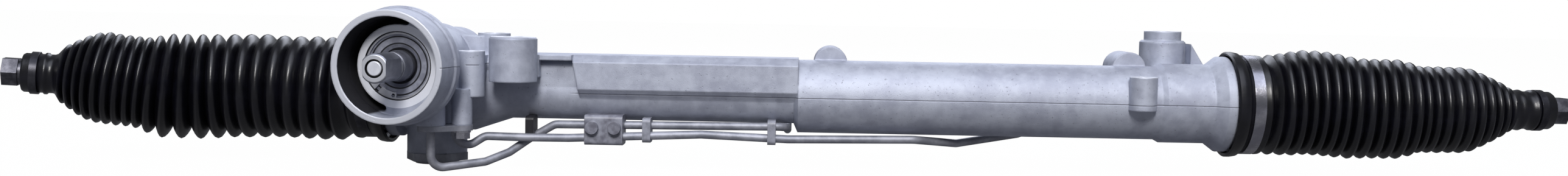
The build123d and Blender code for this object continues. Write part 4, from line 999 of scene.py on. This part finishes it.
@dataclass(frozen=True)
class BellowsBoot:
    """Rubber boot: a cuff, rounded folds that shrink to a cone, and a neck.

    Distances run from the middle of the rack along the boot's own line, which leaves the
    bar's axis at the ball and follows the tie rod.

    Attributes:
        name: The frame's boot that this one takes the place of.
        side: -1 on the left and 1 on the right.
        ball: Distance of the tie rod's ball.
        tilt: Degrees that the tie rod rises.
        turn: Degrees that it swings to the front.
        bend: Where the line starts to turn to the tie rod, and where it has turned.
        cuff: (distance, radius) of the rings inside the first fold.
        crests: (distance, radius) of the folds' crests.
        depths: How deep the folds are, by distance.
        neck: (distance, radius) of the rings beyond the last fold.
        rises: How far the line lies above its plain course, by distance.
        ring_tilts: Degrees that the rings face up, by distance.
        ring_turns: Degrees that they face the front, by distance.
        cuts: The crests after which the boot is cut into lengths.
        margin: Half the length along the rack that the first cut's turned ring takes up.
        swing_inset: How far inside its cuts the blend span of the length round the ball starts and stops.
        sweep: Where the blend span of the neck's length starts and stops, from the second cut.
        wall: Thickness of the rubber.
        segments: Corners of a ring.
        steps: Shares of the way from a crest to a valley that have a ring.
        roundness: Power of the fold's curve, where less is rounder.
    """

    name: str
    side: int
    ball: float
    tilt: float
    turn: float
    bend: Pair
    cuff: tuple[Pair, ...]
    crests: tuple[Pair, ...]
    depths: tuple[Pair, ...]
    neck: tuple[Pair, ...]
    rises: tuple[Pair, ...]
    ring_tilts: tuple[Pair, ...]
    ring_turns: tuple[Pair, ...]
    cuts: tuple[int, int]
    margin: float
    swing_inset: float = 2.0
    sweep: Pair = (1.0, 50.0)
    wall: float = 1.8
    segments: int = 84
    steps: tuple[float, ...] = (0.0, 0.3, 0.56, 0.79)
    roundness: float = 0.85

    def aimed(self, tilt: float, turn: float) -> Vector:
        """Works out an outward direction.

        Args:
            tilt: Degrees that it rises.
            turn: Degrees that it swings to the front.

        Returns:
            The direction.
        """
        up, front = math.radians(tilt), math.radians(turn)
        level = math.cos(front)
        return Vector((self.side * math.cos(up) * level, -math.sin(front), math.sin(up) * level))

    def centre(self, distance: float) -> Vector:
        """Finds the centre of a ring.

        Args:
            distance: Place along the boot's line.

        Returns:
            The centre, in the frame.
        """
        share = eased(distance, *self.bend)
        reach = distance - self.ball
        rise = keyed(self.rises, distance)
        if reach <= 0:
            return at(self.side * distance, 0, rise)
        point = self.aimed(self.tilt * share, self.turn * share) * reach
        return at(self.side * self.ball + point.x, point.y, point.z + rise)

    def normal(self, distance: float) -> Vector:
        """Direction that a ring faces."""
        return self.aimed(keyed(self.ring_tilts, distance), keyed(self.ring_turns, distance))

    def valley(self, crest: int) -> float:
        """Distance of the valley after a crest."""
        return (self.crests[crest][0] + self.crests[crest + 1][0]) / 2

    def fold(self, crest: float, floor: float, share: float) -> float:
        """Radius on the way from a crest to the valley beside it."""
        return floor + (crest - floor) * math.cos(math.pi / 2 * share) ** self.roundness

    def outline(self) -> list[Pair]:
        """Works out the boot's rings.

        Returns:
            (distance, radius) of every ring from the cuff to the neck.
        """
        points = list(self.cuff)
        for (start, high), (end, low) in zip(self.crests, self.crests[1:]):
            middle = (start + end) / 2
            floor = min(high, low) - keyed(self.depths, middle)
            for share in self.steps:
                points.append((start + (middle - start) * share, self.fold(high, floor, share)))
            points.append((middle, floor))
            for share in self.steps[:0:-1]:
                points.append((end + (middle - end) * share, self.fold(low, floor, share)))
        return [*points, self.crests[-1], *self.neck]

    def stretches(self) -> tuple[Stretch, Stretch, Stretch]:
        """Cuts the boot at two valleys, so that each length crosses one joint.

        Returns:
            The folds, the length round the ball and the neck.
        """
        word = "left" if self.side < 0 else "right"
        seat, rod = f"seat_{word}", f"tie_rod_{word}"
        first, second = (self.valley(crest) for crest in self.cuts)
        start, end = min(distance for distance, _ in self.cuff), self.neck[-1][0]
        folds = (self.cuff[PAST_CLAMP][0], first - self.margin)
        ball = (first + self.swing_inset, second - self.swing_inset)
        neck = (second + self.sweep[0], second + self.sweep[1])
        return (
            Stretch(f"{self.name}_folds", (start, first), ("housing", "rack"), folds),
            Stretch(f"{self.name}_ball", (first, second), ("rack", seat), ball),
            Stretch(f"{self.name}_neck", (second, end), (seat, rod), neck),
        )

    def first_ring(self, distance: float, radius: float) -> bpy.types.Object:
        """Models the ring that a stretch starts from and leaves it selected in Edit Mode.

        Args:
            distance: Place along the boot's line.
            radius: Its radius.

        Returns:
            The new mesh.
        """
        bpy.ops.mesh.primitive_circle_add(vertices=self.segments, radius=radius * MM)
        obj = bpy.context.object
        facing = self.normal(distance).to_track_quat("Z", "Y").to_matrix().to_4x4()
        obj.matrix_world = Matrix.Translation(self.centre(distance)) @ facing
        only(obj)
        bpy.ops.object.transform_apply(location=True, rotation=True, scale=True)
        bpy.ops.object.mode_set(mode="EDIT")
        bpy.ops.mesh.select_all(action="SELECT")
        return obj

    def next_ring(self, before: Pair, after: Pair) -> None:
        """Extrudes the selected ring to its next place, size and facing.

        Args:
            before: The ring's (distance, radius).
            after: The next ring's.
        """
        start, end = self.centre(before[0]), self.centre(after[0])
        bpy.ops.mesh.extrude_region_move(TRANSFORM_OT_translate={"value": end - start})
        size = after[1] / before[1]
        bpy.ops.transform.resize(value=(size, size, size), center_override=end)
        hinge = self.normal(before[0]).cross(self.normal(after[0]))
        if hinge.length > NO_HINGE:
            bpy.ops.transform.rotate(
                value=-math.asin(hinge.length), orient_axis="Z",
                orient_matrix=hinge.to_track_quat("Z", "Y").to_matrix(), center_override=end)

    def stretch_mesh(self, stretch: Stretch, material: bpy.types.Material) -> bpy.types.Object:
        """Models one stretch with its wall.

        Args:
            stretch: The length to model.
            material: Its rubber.

        Returns:
            The piece.
        """
        deselect()
        low, high = stretch.rings[0] - RING_TOLERANCE, stretch.rings[1] + RING_TOLERANCE
        rings = [ring for ring in self.outline() if low <= ring[0] <= high]
        obj = self.first_ring(*rings[0])
        for before, after in zip(rings, rings[1:]):
            self.next_ring(before, after)
        bpy.ops.mesh.select_all(action="SELECT")
        bpy.ops.mesh.remove_doubles(threshold=WELD)
        bpy.ops.mesh.normals_make_consistent(inside=False)
        bpy.ops.object.mode_set(mode="OBJECT")
        wall = obj.modifiers.new("wall", "SOLIDIFY")
        wall.thickness, wall.offset = self.wall * MM, -1
        bpy.ops.object.modifier_apply(modifier=wall.name)
        return settle(obj, stretch.name, material)

    def build(self, paint: Paintbox) -> None:
        """Makes the boot's stretches and hides the frame's boot.

        Args:
            paint: Where the rubber comes from.
        """
        for stretch in self.stretches():
            obj = self.stretch_mesh(stretch, paint.get("boot_rubber"))
            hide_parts(self.name)
            start, end = (self.centre(d) for d in stretch.blend)
            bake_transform(obj)
            LOG.info("built %s on %s", stretch.name, " and ".join(stretch.bodies))


LEFT_BOOT = BellowsBoot(
    name="boot_left", side=-1, ball=409.45, tilt=4.1, turn=20.0, bend=(400.0, 534.0), cuts=(7, 9), margin=9.0,
    cuff=((294.6, 36.5), (294.0, 38.0), (295.0, 39.2), (298.0, 39.2), (301.5, 38.6), (303.0, 36.2),
          (304.5, 35.7), (315.5, 35.7), (317.0, 36.6), (319.0, 36.4), (321.0, 33.6), (323.0, 32.8),
          (326.0, 34.0)),
    crests=((331.5, 38.3), (343.1, 38.7), (354.7, 38.7), (366.7, 38.3), (378.4, 38.3), (390.3, 38.9),
            (402.5, 38.9), (414.6, 38.9), (427.1, 39.2), (438.7, 39.4), (450.9, 39.3), (462.2, 39.1),
            (471.5, 36.6), (478.7, 34.1), (485.0, 33.7), (491.2, 33.7), (497.6, 33.6), (503.7, 33.6),
            (510.0, 32.2), (515.8, 29.3), (521.8, 25.5), (527.6, 21.6)),
    depths=((330, 5.5), (400, 6.5), (435, 9.0), (456, 9.5), (468, 6.5), (476, 4.6), (505, 4.2), (525, 3.6)),
    neck=((531.0, 17.4), (533.0, 14.8), (535.0, 14.0), (538.0, 14.0), (539.0, 15.0), (540.6, 15.0),
          (541.6, 14.0), (553.5, 14.0), (554.8, 13.2), (555.0, 11.0)),
    rises=((330, -1.3), (366, -0.5), (390, 0), (414, -0.5), (439, -1.8), (462, -2.4), (491, -0.9),
           (510, 0.5), (528, 0.7), (536, 0)),
    ring_tilts=((322, 0), (350, 4.2), (378, 2.4), (392, 0.7), (427, -0.5), (439, 1.4), (451, 3.6),
                (464, 7.0), (478, 9.2), (497, 9.2), (528, 7.2), (537, 4.1)),
    ring_turns=((320, 0), (345, 7.5), (380, 7), (402, 9.2), (427, 15), (441, 18.4), (462, 20.3),
                (479, 18.4), (515, 14), (527, 13), (538, 20)),
)
RIGHT_BOOT = BellowsBoot(
    name="boot_right", side=1, ball=422.95, tilt=0.0, turn=0.0, bend=(445.0, 546.0), cuts=(9, 11), margin=6.0,
    cuff=((328.6, 36.5), (328.0, 38.0), (329.0, 39.2), (332.0, 39.2), (335.5, 38.6), (337.5, 36.4),
          (339.0, 35.7), (349.0, 35.7), (350.5, 36.9), (352.5, 36.7), (354.5, 33.6), (356.0, 32.9),
          (358.0, 35.0)),
    crests=((360.7, 37.3), (369.5, 38.0), (377.9, 38.8), (386.5, 39.1), (395.0, 39.1), (403.4, 39.0),
            (411.8, 38.7), (421.3, 38.1), (431.0, 37.4), (439.4, 37.2), (447.9, 37.2), (456.5, 37.1),
            (465.6, 35.1), (472.7, 32.5), (479.7, 32.3), (487.2, 32.3), (495.4, 32.1), (503.3, 32.0),
            (510.6, 30.9), (518.4, 27.6), (525.6, 24.2), (532.8, 20.6), (538.9, 16.8)),
    depths=((360, 4.5), (395, 5.5), (440, 5.0), (470, 4.0), (540, 3.0)),
    neck=((542.0, 14.4), (544.5, 14.8), (546.5, 15.2), (548.5, 14.4), (550.0, 14.0), (554.0, 14.0),
          (555.0, 15.0), (556.6, 15.0), (557.6, 14.0), (568.6, 14.0), (569.8, 13.2), (570.0, 11.0)),
    rises=((354, 0), (370, 0.8), (387, 2.5), (398, 2.2), (412, 0.6), (426, -1.2), (500, -1.0), (542, 0)),
    ring_tilts=((354, 0), (379, 1.6), (405, -0.7), (424, -1.0), (446, 0.2), (530, 0.6), (546, 0)),
    ring_turns=((352, 0), (364, 2.8), (404, 6), (424, 9), (450, 9), (480, 8.2), (532, 4.2), (546, 0)),
)


# ---- studio ------------------------------------------------------------------------------
# Width of the picture in pixels, and metres between the object and the floor.
IMAGE_WIDTH = 2576
FLOOR_GAP = 0.0005


@dataclass(frozen=True)
class Lamp:
    """A soft box that faces the middle of the rack, with its size in metres."""

    name: str
    place: Triple
    size: Pair
    power: float
    colour: Colour

    def build(self) -> None:
        """Adds the lamp."""
        data = bpy.data.lights.new(self.name, "AREA")
        data.shape, data.size, data.size_y = "RECTANGLE", *self.size
        data.energy, data.color = self.power, self.colour
        lamp = bpy.data.objects.new(self.name, data)
        bpy.context.scene.collection.objects.link(lamp)
        lamp.location = at(*self.place)
        aim = RACK_CENTRE - lamp.location
        lamp.rotation_euler = aim.to_track_quat("-Z", "Y").to_euler()


@dataclass(frozen=True)
class Eye:
    """Camera a little above the rack, turned slightly along it by degrees."""

    distance: float = 985.0
    aside: float = 10.0
    height: float = 68.8
    pitch: float = 3.66
    yaw: float = 0.62
    roll: float = 1.07
    pixels_per_mm: float = 2.193
    sensor: float = 36.0

    def build(self) -> None:
        """Adds the camera."""
        data = bpy.data.cameras.new("camera")
        data.sensor_width = self.sensor
        data.lens = self.pixels_per_mm * self.distance * self.sensor / IMAGE_WIDTH
        camera = bpy.data.objects.new("camera", data)
        bpy.context.scene.collection.objects.link(camera)
        yaw = Matrix.Rotation(math.radians(self.yaw), 4, "Z")
        level = Matrix.Rotation(math.radians(90 - self.pitch), 4, "X")
        roll = Matrix.Rotation(math.radians(self.roll), 4, "Z")
        facing = yaw @ level @ roll
        camera.matrix_world = Matrix.Translation(at(self.aside, -self.distance, self.height)) @ facing
        bpy.context.scene.camera = camera


@dataclass(frozen=True)
class FloorPaper:
    """Paper that is white to the eye, and dark where it lights the object."""

    light: Colour = (0.14, 0.14, 0.15)
    dark: Colour = (0.12, 0.12, 0.13)
    rough: float = 0.9
    cloud: Lumps = Lumps(40.0, 3.0)
    glow: float = 1.04
    cover: float = 0.95
    mirror: float = 0.09

    def material(self, name: str) -> bpy.types.Material:
        """Builds the material.

        Args:
            name: What to call it.

        Returns:
            The material.
        """
        graph = Graph(name)
        share = graph.seen(self.mirror) * self.cover
        cloud = graph.noise(graph.place(Vector()), self.cloud)
        graph.dress(Base_Color=graph.blend(cloud, self.dark, self.light), Roughness=self.rough)
        glow = graph.add("ShaderNodeEmission", {}, {"Color": WHITE, "Strength": self.glow})
        mixed = graph.add("ShaderNodeMixShader", {},
                          {0: share, 1: graph.shader.outputs[0], 2: glow.outputs[0]})
        graph.feed(graph.output.inputs[0], mixed.outputs[0])
        return graph.material


@dataclass(frozen=True)
class Surround:
    """World that is plain white to the eye and dim to the object."""

    dim: Colour = (0.80, 0.86, 1.0)
    dim_strength: float = 0.09
    mirror: float = 0.14

    def build(self) -> None:
        """Adds the world."""
        world = bpy.data.worlds.new("studio")
        bpy.context.scene.world = world
        world.use_nodes = True
        tree = Tree(world.node_tree)
        dim = tree.add("ShaderNodeBackground", {}, {"Color": self.dim, "Strength": self.dim_strength})
        bright = tree.add("ShaderNodeBackground", {}, {"Color": WHITE, "Strength": 1.0})
        mixed = tree.add("ShaderNodeMixShader", {},
                         {0: tree.seen(self.mirror), 1: dim.outputs[0], 2: bright.outputs[0]})
        tree.add("ShaderNodeOutputWorld", {}, {0: mixed.outputs[0]})


@dataclass(frozen=True)
class Studio:
    """Pale floor, soft boxes, surround and camera, with the floor's size in metres."""

    eye: Eye = Eye()
    paper: FloorPaper = FloorPaper()
    surround: Surround = Surround()
    floor_size: float = 14.0
    lamps: tuple[Lamp, ...] = (
        Lamp("key", (0, -3300, 2400), (1.0, 1.0), 128.0, (1.0, 0.98, 0.97)),
        Lamp("top", (0, -800, 1650), (2.8, 1.3), 24.0, (0.82, 0.86, 1.0)),
        Lamp("rear", (0, 2400, 1500), (2.6, 1.2), 36.0, (0.84, 0.88, 1.0)),
    )

    def floor(self, level: float) -> None:
        """Adds the floor.

        Args:
            level: Its height in the frame, in metres.
        """
        deselect()
        bpy.ops.mesh.primitive_plane_add(size=1.0, location=(0, 0, level))
        plane = bpy.context.object
        bpy.ops.object.mode_set(mode="EDIT")
        bpy.ops.mesh.select_all(action="SELECT")
        bpy.ops.transform.resize(value=(self.floor_size, self.floor_size, 1))
        bpy.ops.object.mode_set(mode="OBJECT")
        plane.name = "floor"
        plane.data.materials.append(self.paper.material("floor_paper"))
        plane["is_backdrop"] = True

    def build(self, level: float) -> None:
        """Builds the studio.

        Args:
            level: Height of the floor in the frame, in metres.
        """
        self.eye.build()
        self.floor(level)
        self.surround.build()
        for lamp in self.lamps:
            lamp.build()
        bpy.context.scene.view_settings.view_transform = "Standard"
        LOG.info("built the studio")


def corners() -> list[list[float]]:
    """The object's lowest and highest corners, as plain lists."""
    return [[float(c) for c in corner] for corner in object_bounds()]


def main() -> None:
    """Builds the scene in order."""
    logging.basicConfig(level=logging.INFO, format="%(message)s")
    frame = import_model()
    before = corners()
    Studio().build(before[0][2] - FLOOR_GAP)
    paint = Paintbox()
    paint.dress_frame(frame)
    for boot in (LEFT_BOOT, RIGHT_BOOT):
        boot.build(paint)


if __name__ == "__main__":
    main()
